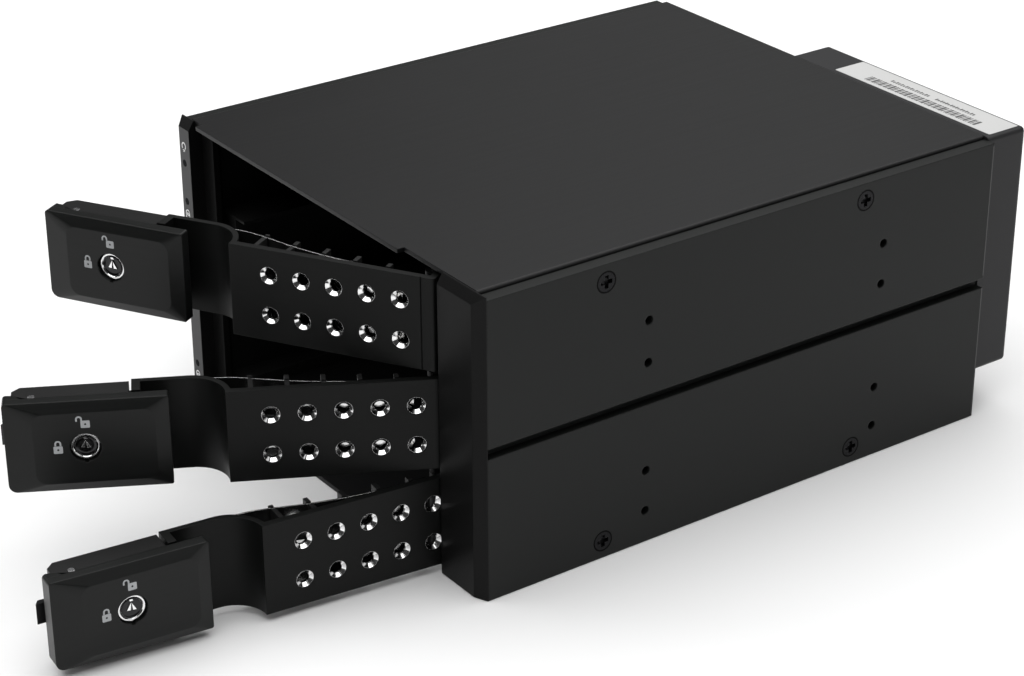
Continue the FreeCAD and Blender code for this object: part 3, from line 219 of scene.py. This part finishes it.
def smoked(name, colour):
    """Dark moulded plastic that lets a little light through, with faint flow marks."""
    material, tree, shader = new_material(name)
    flow = noise(tree, coordinates(tree, stretch=(1.0, 0.3, 1.0)), 900.0)
    tree.links.new(swing(tree, flow, 0.16, 0.06), shader.inputs["Roughness"])
    tree.links.new(tint(tree, flow, shade(colour, 0.9), colour), shader.inputs["Base Color"])
    shader.inputs["Transmission Weight"].default_value = 0.1
    shader.inputs["Specular IOR Level"].default_value = 0.0
    return material


def board(name, mask, trace):
    """Solder mask with slightly raised tracks that show through it."""
    track_scale, track_width, track_height = 420.0, 0.05, 0.02
    track_share, blotch_share = 0.35, 0.5
    material, tree, shader = new_material(name)
    blotch = noise(tree, coordinates(tree), 60.0)
    cells = node(tree, "ShaderNodeTexVoronoi", Scale=track_scale,
                 Vector=coordinates(tree, stretch=(1.0, 1.0, 0.45)))
    cells.feature = "DISTANCE_TO_EDGE"
    track = maths(tree, "LESS_THAN", cells.outputs["Distance"], track_width)
    blotches = maths(tree, "MULTIPLY", blotch, blotch_share)
    amount = maths(tree, "MULTIPLY_ADD", track, track_share, blotches)
    bump = node(tree, "ShaderNodeBump", Strength=1.0, Distance=MM,
                Height=maths(tree, "MULTIPLY", track, track_height))
    tree.links.new(tint(tree, amount, mask, trace), shader.inputs["Base Color"])
    tree.links.new(swing(tree, blotch, 0.35, 0.08), shader.inputs["Roughness"])
    tree.links.new(bump.outputs["Normal"], shader.inputs["Normal"])
    return material


# ---------------------------------------------------------------- finishes of the CAD's solids
LENGTHWISE = (14.0, 900.0, 900.0)      # grain along X
REARWARD = (900.0, 14.0, 900.0)        # grain along Y
UPRIGHT = (900.0, 900.0, 14.0)         # grain along Z

SIDE_BLACK = (0.0075, 0.0082, 0.0078)
COVER_BLACK = (0.0082, 0.0082, 0.0085)
BEZEL_BLACK = (0.006, 0.006, 0.006)
STRIP_BLACK = (0.004, 0.004, 0.004)
STRIP_FILM = (0.058, 0.058, 0.059)
DOOR_BLACK = (0.0045, 0.0048, 0.0046)
LEVER_BLACK = (0.0075, 0.0080, 0.0077)
LINER_BLACK = (0.010, 0.010, 0.010)
HOUSING_BLACK = (0.011, 0.011, 0.011)
SCREW_BLACK = (0.010, 0.010, 0.011)
COATED_BLACK = (0.005, 0.005, 0.005)
REAR_BLACK = (0.016, 0.016, 0.017)
SHROUD_BLACK = (0.021, 0.021, 0.022)
GUIDE_BLACK = (0.010, 0.010, 0.010)
FAN_BLACK = (0.012, 0.012, 0.013)
SOCKET_BLACK = (0.012, 0.012, 0.012)
PIPE_BLACK = (0.006, 0.007, 0.008)
NYLON = (0.72, 0.70, 0.62)
BOARD_MASK = (0.010, 0.055, 0.028)
BOARD_TRACK = (0.03, 0.12, 0.06)
STEEL = (0.58, 0.58, 0.59)
DARK_STEEL = (0.045, 0.045, 0.046)
SPRING_STEEL = (0.72, 0.72, 0.72)
PLATED = (0.60, 0.60, 0.61)
NICKEL = (0.62, 0.61, 0.59)
CHROME = (0.80, 0.80, 0.80)


def assign(names, material):
    """Gives all of these CAD nodes the material."""
    for name in names:
        for slot in frame["nodes"][name].material_slots:
            slot.material = material


def dress_body():
    """The anodised plates and covers, the bezel and the strip that holds the lights."""
    assign(["side_plate_right", "side_plate_left"],
           surface("anodised_side", SIDE_BLACK, rough=0.42, speck=0.012, patch=0.18, specular=0.18,
                   edge=0.45))
    assign(["top_cover", "bottom_cover"],
           surface("anodised_cover", COVER_BLACK, rough=0.40, grain=REARWARD, grain_depth=0.004,
                   speck=0.006, patch=0.15, edge=0.35))
    assign(["post_right"],
           surface("brushed_bezel", BEZEL_BLACK, rough=0.36, grain=UPRIGHT, grain_depth=0.006,
                   speck=0.004, specular=0.09, edge=0.25))
    assign(["post_left"],
           surface("light_strip", STRIP_BLACK, rough=0.45, grain=UPRIGHT, grain_depth=0.004,
                   speck=0.006, specular=0.16, edge=0.2, front=STRIP_FILM))


def dress_hardware():
    """The screws, the hinge parts and what the latches and locks turn."""
    assign(["side_screws"],
           surface("black_oxide", SCREW_BLACK, rough=0.28, speck=0.006, metallic=0.6, edge=0.15))
    assign(["bracket_screws", "board_screws", "fan_screws"] + door_names("door_%d_screws"),
           surface("nickel", NICKEL, rough=0.26, speck=0.006, metallic=1.0, edge=0.15))
    assign(["hinge_rod"] + door_names("door_%d_pin"),
           surface("ground_steel", STEEL, rough=0.24, grain=UPRIGHT, grain_depth=0.004,
                   metallic=1.0, edge=0.12))
    assign(door_names("latch_%d_hook") + door_names("lock_%d_cam"),
           surface("dark_steel", DARK_STEEL, rough=0.35, speck=0.006, metallic=1.0, edge=0.15))
    assign(["strike_strip", "hinge_bracket"],
           surface("coated_steel", COATED_BLACK, rough=0.40, speck=0.008, specular=0.08, edge=0.15))


def dress_rear():
    """The rear panel, the fan and its shroud, and the guides that the drives slide in."""
    assign(["rear_panel"],
           surface("rear_sheet", REAR_BLACK, rough=0.42, speck=0.010, edge=0.15))
    assign(["fan_shroud"],
           surface("shroud_finish", SHROUD_BLACK, rough=0.36, speck=0.006, specular=0.16, edge=0.5))
    assign(["guide_left", "guide_right"],
           surface("guide_plastic", GUIDE_BLACK, rough=0.50, speck=0.016, speck_scale=1800.0,
                   edge=0.2))
    assign(["fan_frame", "fan_rotor"],
           surface("fan_plastic", FAN_BLACK, rough=0.42, speck=0.010, speck_scale=1600.0, edge=0.2))
    assign(["fan_guard"],
           surface("plated_wire", PLATED, rough=0.20, speck=0.004, metallic=1.0, edge=0.45))


def dress_electrics():
    """The boards, their sockets and the light pipes."""
    assign(["backplane_board", "led_board"], board("solder_mask", BOARD_MASK, BOARD_TRACK))
    assign(door_names("drive_connector_%d") + ["data_connectors"],
           surface("socket_plastic", SOCKET_BLACK, rough=0.45, speck=0.010, edge=0.15))
    assign(["power_connectors"],
           surface("natural_nylon", NYLON, rough=0.48, speck=0.010, patch=0.05, edge=0.15))
    assign(["light_pipes"], smoked("smoked_acrylic", PIPE_BLACK))


def dress_door(k):
    """One door. Its own materials turn their grain with the angle that it stands open at."""
    turn = door_angle(k)
    assign(["door_%d_panel" % k],
           surface("door_metal_%d" % k, DOOR_BLACK, rough=0.42, turn=turn, grain=LENGTHWISE,
                   grain_depth=0.008, speck=0.003, patch=0.25, specular=0.14, edge=0.25))
    assign(["latch_%d_lever" % k],
           surface("lever_metal_%d" % k, LEVER_BLACK, rough=0.32, turn=turn, grain=LENGTHWISE,
                   grain_depth=0.006, speck=0.003, patch=0.25, edge=0.4))
    assign(["door_%d_liner" % k],
           surface("liner_plastic_%d" % k, LINER_BLACK, rough=0.42, turn=turn, speck=0.012,
                   edge=0.2))
    assign(["door_%d_housing" % k],
           surface("housing_plastic_%d" % k, HOUSING_BLACK, rough=0.36, turn=turn, speck=0.010,
                   edge=0.3))
    assign(["door_%d_leaf" % k],
           surface("spring_steel_%d" % k, SPRING_STEEL, rough=0.18, turn=turn, grain=LENGTHWISE,
                   grain_depth=0.003, metallic=1.0, edge=0.1))
    assign(["lock_%d_cylinder" % k],
           surface("lock_chrome_%d" % k, CHROME, rough=0.12, speck=0.003, metallic=1.0, edge=0.2))


# ---------------------------------------------------------------- making pieces
def piece_from(name, build, body, material, matrix=None, smooth=False):
    """A mesh piece made by build(bm), placed by matrix, riding on a body."""
    bm = bmesh.new()
    build(bm)
    bmesh.ops.recalc_face_normals(bm, faces=bm.faces)
    if matrix is not None:
        bmesh.ops.transform(bm, matrix=matrix, verts=bm.verts)
    mesh = bpy.data.meshes.new(name)
    bm.to_mesh(mesh)
    bm.free()
    piece = bpy.data.objects.new(name, mesh)
    bpy.context.collection.objects.link(piece)
    mesh.materials.append(material)
    for face in mesh.polygons:
        face.use_smooth = smooth
    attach(piece, body)
    return piece


def slab(bm, outline, depth, holes=()):
    """Extrudes a flat outline of 3D points along depth, with the holes cut out of it."""
    edges = []
    for ring in [outline] + list(holes):
        verts = [bm.verts.new(p) for p in ring]
        edges += [bm.edges.new((a, b)) for a, b in zip(verts, verts[1:] + verts[:1])]
    filled = bmesh.ops.triangle_fill(bm, use_beauty=True, use_dissolve=False, edges=edges)
    faces = [g for g in filled["geom"] if isinstance(g, bmesh.types.BMFace)]
    grown = bmesh.ops.extrude_face_region(bm, geom=faces, use_keep_orig=True)
    verts = [g for g in grown["geom"] if isinstance(g, bmesh.types.BMVert)]
    bmesh.ops.translate(bm, verts=verts, vec=depth)


def arc(cx, cy, r, start, end, steps=10):
    """Points of an arc in the plane, from start to end degrees."""
    angles = [math.radians(start + (end - start) * i / steps) for i in range(steps + 1)]
    return [(cx + r * math.cos(a), cy + r * math.sin(a)) for a in angles]


def rounded_box(x0, x1, y0, y1, r, steps=4):
    return (arc(x1 - r, y1 - r, r, 0, 90, steps) + arc(x0 + r, y1 - r, r, 90, 180, steps)
            + arc(x0 + r, y0 + r, r, 180, 270, steps) + arc(x1 - r, y0 + r, r, 270, 360, steps))


def standing(place, turn, axis):
    """Puts a turned shape, whose sizes are in millimetres, at a place with its axis turned."""
    return Matrix.Translation(place) @ Matrix.Rotation(turn, 4, axis) @ Matrix.Scale(MM, 4)


def round_point(matrix, radius, height, angle):
    return matrix @ Vector((radius * math.cos(angle), radius * math.sin(angle), height))


def turned_ring(bm, profile, matrix, steps=36):
    """A closed ring turned from (radius, height) points round matrix's Z axis."""
    rings = []
    for i in range(steps):
        angle = 2 * math.pi * i / steps
        rings.append([bm.verts.new(round_point(matrix, r, h, angle)) for r, h in profile])
    for one, two in zip(rings, rings[1:] + rings[:1]):
        for j in range(len(profile)):
            n = (j + 1) % len(profile)
            bm.faces.new((one[j], two[j], two[n], one[n]))


def turned_plug(bm, profile, middle_height, matrix, steps=36):
    """A plug turned from (radius, height) points, closed by a flat foot and by a middle point."""
    angles = [2 * math.pi * i / steps for i in range(steps)]
    rows = [[bm.verts.new(round_point(matrix, r, h, a)) for a in angles] for r, h in profile]
    middle = bm.verts.new(round_point(matrix, 0, middle_height, 0))
    for one, two in zip(rows, rows[1:]):
        for i in range(steps):
            n = (i + 1) % steps
            bm.faces.new((one[i], one[n], two[n], two[i]))
    for i in range(steps):
        bm.faces.new((rows[-1][i], rows[-1][(i + 1) % steps], middle))
    bm.faces.new(rows[0])


# ---------------------------------------------------------------- prints and label
PRINT_DEPTH = 0.03
FACE_V = 8.2        # the doors' faces
LEVER_V = 8.6       # the levers' faces


def shackle(cx, cy, r, width, leg):
    """A padlock's shackle: half a ring with straight legs down from its ends, as one outline."""
    outer = r + width / 2
    inner = r - width / 2
    foot = cy - leg
    return ([(cx + outer, foot)] + arc(cx, cy, outer, 0, 180)
            + [(cx - outer, foot), (cx - inner, foot)] + arc(cx, cy, inner, 180, 0)
            + [(cx + inner, foot)])


def print_icons(k, ink):
    """The shut and open padlocks on a lever. Their points are (right, up) as seen from the front."""
    half_width, half_height, corner = 1.12, 1.0, 0.25
    keyhole_r = 0.28
    shackle_r, shackle_width, leg = 0.62, 0.42, 0.6
    shut = (94.5, -0.2, 0.0, 1.7)       # u and z of the body's middle, then the shackle's middle
    opened = (87.5, 6.5, -1.5, 1.45)

    def on_face(points, u, z):
        return [uvz(u - x, LEVER_V, z + y) for x, y in points]

    def build(bm):
        depth = uvz(0, PRINT_DEPTH, 0)
        body = rounded_box(-half_width, half_width, -half_height, half_height, corner)
        keyhole = arc(0, 0, keyhole_r, 0, 330, 11)
        for u, z, x, y in (shut, opened):
            slab(bm, on_face(body, u, z), depth, [on_face(keyhole, u, z)])
            slab(bm, on_face(shackle(x, y, shackle_r, shackle_width, leg), u, z), depth)

    piece_from("lever_icons_%d" % k, build, "latch_%d" % k, ink, door_matrix(k))


def light_icons(ink):
    """The small signs printed beside the lights: a bulb over the top one, a drive under the rest."""
    lo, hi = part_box("post_left")
    pipes_lo, pipes_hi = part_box("light_pipes")
    x = (pipes_lo.x + pipes_hi.x) / 2 / MM
    y = lo.y / MM
    bulb_z, drive_zs = 75.9, (4.8, 30.1, 55.5)
    glass_middle, glass_r, glass_bore = 0.3, 1.15, 0.77
    disc_r, disc_line, disc_middle, disc_pitch, disc_foot = 1.1, 0.3, 0.35, 0.95, 0.9

    def flat(points, z):
        return [xyz(x + a, y, z + b) for a, b in points]

    def bar(half_width, top, bottom):
        return [(-half_width, top), (half_width, top), (half_width, bottom), (-half_width, bottom)]

    def dome(r, middle, foot):
        return arc(0, middle, r, 0, 180, 8) + [(-r, foot), (r, foot)]

    def build(bm):
        depth = xyz(0, -PRINT_DEPTH, 0)
        glass = arc(0, glass_middle, glass_r, -50, 230, 16)
        inner = arc(0, glass_middle, glass_bore, -50, 230, 16)
        slab(bm, flat(glass + inner[::-1], bulb_z), depth)
        slab(bm, flat(bar(0.55, -0.75, -1.0), bulb_z), depth)
        slab(bm, flat(bar(0.4, -1.2, -1.4), bulb_z), depth)
        for z in drive_zs:
            for lift in (0.0, disc_pitch):
                middle = disc_middle + lift
                ring = dome(disc_r, middle, lift - disc_middle)
                hole = dome(disc_r - disc_line, middle, lift - disc_middle + disc_line)
                slab(bm, flat(ring, z - disc_foot), depth, [flat(hole, z - disc_foot)])

    piece_from("light_signs", build, "cage", ink)


def shroud_label(paper, ink):
    """A label on top of the fan shroud with plain bars along its front edge and rows of dashes."""
    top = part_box("fan_shroud")[1].z / MM
    paper_box, paper_corner = (7.2, 69.4, 86.7, 97.7), 0.4
    paper_thick, ink_thick = 0.06, 0.02
    bars_x, bars_y, bar_height = (17.8, 61.8), 88.2, 3.3
    bar_widths = (0.35, 0.7, 0.35, 0.9, 0.5, 0.35, 0.75)
    bar_gaps = (0.4, 0.3, 0.6, 0.3, 0.45)
    row_starts, row_y, row_marks = (23.6, 41.6), 93.0, 16
    dash_pitch, dash_width = 0.97, 0.6
    dash_heights = (1.3, 0.9, 1.3, 1.1)

    def label(bm):
        ring = [xyz(x, y, top) for x, y in rounded_box(*paper_box, paper_corner)]
        slab(bm, ring, xyz(0, 0, paper_thick))

    def mark(bm, x, y, width, height):
        ring = [(x, y), (x + width, y), (x + width, y + height), (x, y + height)]
        slab(bm, [xyz(a, b, top + paper_thick) for a, b in ring], xyz(0, 0, ink_thick))

    def marks(bm):
        x, end = bars_x
        step = 0
        while x < end:
            width = bar_widths[step % len(bar_widths)]
            mark(bm, x, bars_y, width, bar_height)
            x += width + bar_gaps[step % len(bar_gaps)]
            step += 1
        for start in row_starts:
            for i in range(row_marks):
                height = dash_heights[i % len(dash_heights)]
                mark(bm, start + i * dash_pitch, row_y, dash_width, height)

    piece_from("shroud_label", label, "cage", paper)
    piece_from("label_bars", marks, "cage", ink)


# ---------------------------------------------------------------- small metal pieces
LOCK_U = 87.8               # the lock's axis
LOCK_FLOOR_V = 7.35         # the bottom of its dished face
PLUG_PROFILE = ((2.66, -0.12), (2.66, 0.34), (2.52, 0.21), (2.35, 0.11), (2.1, 0.04), (1.8, 0.01),
                (1.2, 0.03), (0.6, 0.05))
PLUG_MIDDLE = 0.06
# (right, up) outlines of the arrow's two halves and of the tab over its tip
ARROW_OUTLINES = (((0.0, 1.65), (-1.2, -0.45), (-0.25, -0.55)),
                  ((0.12, 1.35), (0.35, -0.6), (1.25, -0.6)),
                  ((-0.45, 2.45), (0.35, 2.45), (0.5, 1.95), (-0.3, 1.95)))
ARROW_LIFT, ARROW_DEPTH = 0.02, 0.34


def lock_face(k, dark, bright):
    """The dark dished plug inside the barrel's rim, and the bright arrow and tab on it."""
    stand = standing(uvz(LOCK_U, LOCK_FLOOR_V, 0), math.pi / 2, "X")

    def plug(bm):
        turned_plug(bm, PLUG_PROFILE, PLUG_MIDDLE, stand)

    def marks(bm):
        foot_v = LOCK_FLOOR_V + ARROW_LIFT
        for outline in ARROW_OUTLINES:
            slab(bm, [uvz(LOCK_U - x, foot_v, z) for x, z in outline], uvz(0, ARROW_DEPTH, 0))

    piece_from("lock_plug_%d" % k, plug, "lock_%d" % k, dark, door_matrix(k),
               smooth=True)
    piece_from("lock_arrow_%d" % k, marks, "lock_%d" % k, bright, door_matrix(k))


def lever_cheeks(k, metal):
    """Thin cheeks from the lever's lip to its back, outside the housing's top and bottom."""
    outline = [(106.6, 4.4), (103.0, 4.4), (103.9, 3.1), (105.0, 2.3), (106.6, 2.25)]
    inside, thick = 12.02, 0.26

    def build(bm):
        for low in (inside, -inside - thick):
            slab(bm, [uvz(u, v, low) for u, v in outline], uvz(0, 0, thick))

    piece_from("lever_cheeks_%d" % k, build, "latch_%d" % k, metal, door_matrix(k))


def bright_rims(k, polished):
    """The diamond-cut countersinks of a door's perforations, whose outermost edge is coated."""
    first_u, pitch_u, pitch_z = 6.4, 9.0, 11.0
    columns, rows = 5, (-0.5, 0.5)
    bore, sink, skin, coated, bore_depth = 1.5, 1.02, 0.025, 0.2, 0.5
    cut_r, cut_height = bore + sink - coated, skin - coated
    foot = -sink - bore_depth
    profile = [(cut_r + skin, cut_height), (cut_r - skin, cut_height), (bore - skin, -sink),
               (bore - skin, foot), (bore + skin, foot), (bore + skin, -sink)]

    def build(bm):
        for c in range(columns):
            for row in rows:
                centre = uvz(first_u + c * pitch_u, FACE_V, row * pitch_z)
                turned_ring(bm, profile, standing(centre, math.pi / 2, "X"))

    piece_from("perforation_rims_%d" % k, build, "door_%d" % k, polished,
               door_matrix(k))


def latch_springs(k, wire):
    """The torsion spring round a latch's pin, between the lever's ears."""
    pin_u, pin_v, coil_r, wire_r = 100.3, 3.0, 1.2, 0.16
    turns, low, high = 9, -5.5, -1.0
    steps_per_turn, sides = 16, 6
    first_leg, last_leg = (-6.0, -0.5), (-6.5, 4.1)     # u from the pin, and v, of the legs' ends

    def wire_path():
        steps = turns * steps_per_turn
        path = [uvz(pin_u + first_leg[0], first_leg[1], low)]
        for i in range(steps + 1):
            a = 2 * math.pi * turns * i / steps
            z = low + (high - low) * i / steps
            path.append(uvz(pin_u + coil_r * math.cos(a), pin_v + coil_r * math.sin(a), z))
        path.append(uvz(pin_u + last_leg[0], last_leg[1], high))
        return path

    def wire_ring(bm, point, ahead):
        side = ahead.cross(Vector((0, 0, 1)))
        side.normalize()
        up = side.cross(ahead)
        angles = [math.pi * 2 / sides * j for j in range(sides)]
        return [bm.verts.new(point + (side * math.cos(a) + up * math.sin(a)) * wire_r * MM)
                for a in angles]

    def build(bm):
        path = wire_path()
        rings = []
        for i, point in enumerate(path):
            ahead = path[min(i + 1, len(path) - 1)] - path[max(i - 1, 0)]
            ahead.normalize()
            rings.append(wire_ring(bm, point, ahead))
        for one, two in zip(rings, rings[1:]):
            for j in range(sides):
                n = (j + 1) % sides
                bm.faces.new((one[j], two[j], two[n], one[n]))
        bm.faces.new(rings[0])
        bm.faces.new(rings[-1])

    piece_from("latch_spring_%d" % k, build, "door_%d" % k, wire, door_matrix(k),
               smooth=True)


def screw_shade_rings(dark):
    """Painted shade: thin near-black rings round the side screws' heads, in place of the shadow in the
    gaps of their countersinks.
    """
    lo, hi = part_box("side_screws")
    plate_lo, plate_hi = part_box("side_plate_right")
    front, top = plate_lo.y / MM, plate_hi.z / MM
    holes_back, hole_z = (35.85, 121.35), 4.9   # from the plates' front, and from their long edges
    profile = [(3.05, -0.02), (2.95, 0.03), (2.62, 0.03), (2.55, -0.02)]
    sides = ((hi.x / MM, math.pi / 2), (lo.x / MM, -math.pi / 2))

    def build(bm):
        for back in holes_back:
            for z in (hole_z, top - hole_z):
                for x, turn in sides:
                    turned_ring(bm, profile, standing(xyz(x, front + back, z), turn, "Y"))

    piece_from("screw_shade_rings", build, "cage", dark)


def edge_highlight_strips(metal):
    """Painted highlight: a thin lighter strip along the side plates' rear edges, above and below the
    groove, in place of the light that the edges catch.
    """
    lo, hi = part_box("side_plate_right")
    rear, top = hi.y / MM, hi.z / MM
    line_in, line_out, thick = 0.42, 0.02, 0.03         # the line's edges from the plate's rear edge
    groove_low, groove_high, corner = 40.2, 44.0, 0.8
    lines = ((corner, groove_low), (groove_high, top - corner))

    def build(bm):
        y0, y1 = rear - line_in, rear - line_out
        for x, out in ((hi.x / MM, thick), (-hi.x / MM, -thick)):
            for z0, z1 in lines:
                ring = [(y0, z0), (y1, z0), (y1, z1), (y0, z1)]
                slab(bm, [xyz(x, y, z) for y, z in ring], xyz(out, 0, 0))

    piece_from("edge_highlight_strips", build, "cage", metal)


def add_pieces():
    grey_ink = surface("grey_ink", (0.42, 0.43, 0.44), rough=0.55, speck=0.004, patch=0.10,
                       edge=0.02)
    white_ink = surface("white_ink", (0.92, 0.92, 0.92), rough=0.55, speck=0.004, patch=0.08,
                        edge=0.02)
    paper = surface("label_paper", (0.52, 0.52, 0.515), rough=0.55, speck=0.006, patch=0.04,
                    edge=0.02)
    bar_ink = surface("bar_ink", (0.09, 0.09, 0.09), rough=0.5, speck=0.004, edge=0.02)
    polished = surface("polished_cut", (0.86, 0.86, 0.86), rough=0.10, speck=0.004, metallic=1.0,
                       edge=0.05)
    plug = surface("lock_plug", (0.035, 0.035, 0.036), rough=0.20, speck=0.004, metallic=1.0,
                   edge=0.05)
    wire = surface("spring_wire", STEEL, rough=0.22, speck=0.004, metallic=1.0, edge=0.05)
    for k in DOORS:
        print_icons(k, grey_ink)
        lock_face(k, plug, polished)
        lever_cheeks(k, bpy.data.materials["lever_metal_%d" % k])
        bright_rims(k, polished)
        latch_springs(k, wire)
    # near-black rings of painted shade round the side screws' heads
    screw_shade_rings(surface("seat_shadow", (0.002, 0.002, 0.002), rough=0.6, speck=0.004,
                        specular=0.05, edge=0.02))
    # a lighter metallic strip: painted highlight along the side plates' rear edges
    edge_highlight_strips(surface("edge_highlight_paint", (0.07, 0.07, 0.07), rough=0.35, speck=0.004, metallic=0.4,
                        edge=0.02))
    light_icons(white_ink)
    shroud_label(paper, bar_ink)


# ---------------------------------------------------------------- stage
FLOOR_DROP = 0.0002         # metres that the floor lies below the cage's underside
FLOOR_DARK = (0.86, 0.86, 0.86)
FLOOR_LIGHT = (0.90, 0.90, 0.90)
WORLD_STRENGTH = 0.04

# Each light: where it hangs, where it points, its width and height in metres, and its watts.
LIGHTS = {
    "overhead": ((-0.3, 0.1, 1.9), (-0.3, 0.1, 0.0), (3.4, 4.0), 100.0),
    "right_panel": ((1.3, 0.5, 0.75), (0.05, 0.0, 0.04), (1.3, 0.9), 2.5),
    "left_panel": ((-1.5, -1.05, 1.2), (0.06, -0.085, 0.08), (0.9, 0.7), 4.0),
    "back_panel": ((-1.75, 1.6, 0.85), (0.0, 0.0, 0.08), (1.1, 0.8), 0.8),
}

# The camera looks at the cage from these angles in degrees: azimuth 0 looks along +Y.
CAMERA_AZIMUTH, CAMERA_ELEVATION, CAMERA_ROLL = 54.4302, 26.3870, -0.1981
CAMERA_PLACE = (524.748, -398.563, 346.881)
CAMERA_LENS, CAMERA_SENSOR = 90.81, 36.0


def floor():
    bm = bmesh.new()
    bmesh.ops.create_grid(bm, x_segments=8, y_segments=8, size=8.0)
    mesh = bpy.data.meshes.new("floor")
    bm.to_mesh(mesh)
    bm.free()
    made = bpy.data.objects.new("floor", mesh)
    made.location.z = -FLOOR_DROP
    bpy.context.collection.objects.link(made)
    material, tree, shader = new_material("pale_floor")
    cloud = noise(tree, coordinates(tree), 3.0)
    tree.links.new(tint(tree, cloud, FLOOR_DARK, FLOOR_LIGHT), shader.inputs["Base Color"])
    tree.links.new(swing(tree, cloud, 0.75, 0.05), shader.inputs["Roughness"])
    mesh.materials.append(material)


def area_light(name, place, target, size, power):
    data = bpy.data.lights.new(name, "AREA")
    data.shape = "RECTANGLE"
    data.size, data.size_y = size
    data.energy = power
    lamp = bpy.data.objects.new(name, data)
    lamp.location = place
    aim = Vector(target) - Vector(place)
    lamp.rotation_euler = aim.to_track_quat("-Z", "Y").to_euler()
    bpy.context.collection.objects.link(lamp)


def lights():
    world = bpy.data.worlds.new("studio")
    world.use_nodes = True
    background = world.node_tree.nodes["Background"]
    background.inputs["Color"].default_value = (1.0, 1.0, 1.0, 1.0)
    background.inputs["Strength"].default_value = WORLD_STRENGTH
    bpy.context.scene.world = world
    for name, (place, target, size, power) in LIGHTS.items():
        area_light(name, place, target, size, power)
    bpy.context.scene.view_settings.view_transform = "Standard"


def camera():
    angles = (CAMERA_AZIMUTH, CAMERA_ELEVATION, CAMERA_ROLL)
    azimuth, elevation, roll = (math.radians(a) for a in angles)
    level = math.cos(elevation)
    back = Vector((math.sin(azimuth) * level, -math.cos(azimuth) * level, math.sin(elevation)))
    turn = (-back).to_track_quat("-Z", "Y").to_matrix() @ Matrix.Rotation(roll, 3, "Z")
    data = bpy.data.cameras.new("camera")
    data.sensor_width = CAMERA_SENSOR
    data.lens = CAMERA_LENS
    data.clip_start, data.clip_end = 0.01, 20.0
    made = bpy.data.objects.new("camera", data)
    made.location = Vector(CAMERA_PLACE) * MM
    made.rotation_euler = turn.to_euler()
    bpy.context.collection.objects.link(made)
    bpy.context.scene.camera = made


dress_body()
dress_hardware()
dress_rear()
dress_electrics()
for door in DOORS:
    dress_door(door)
add_pieces()
floor()
lights()
camera()
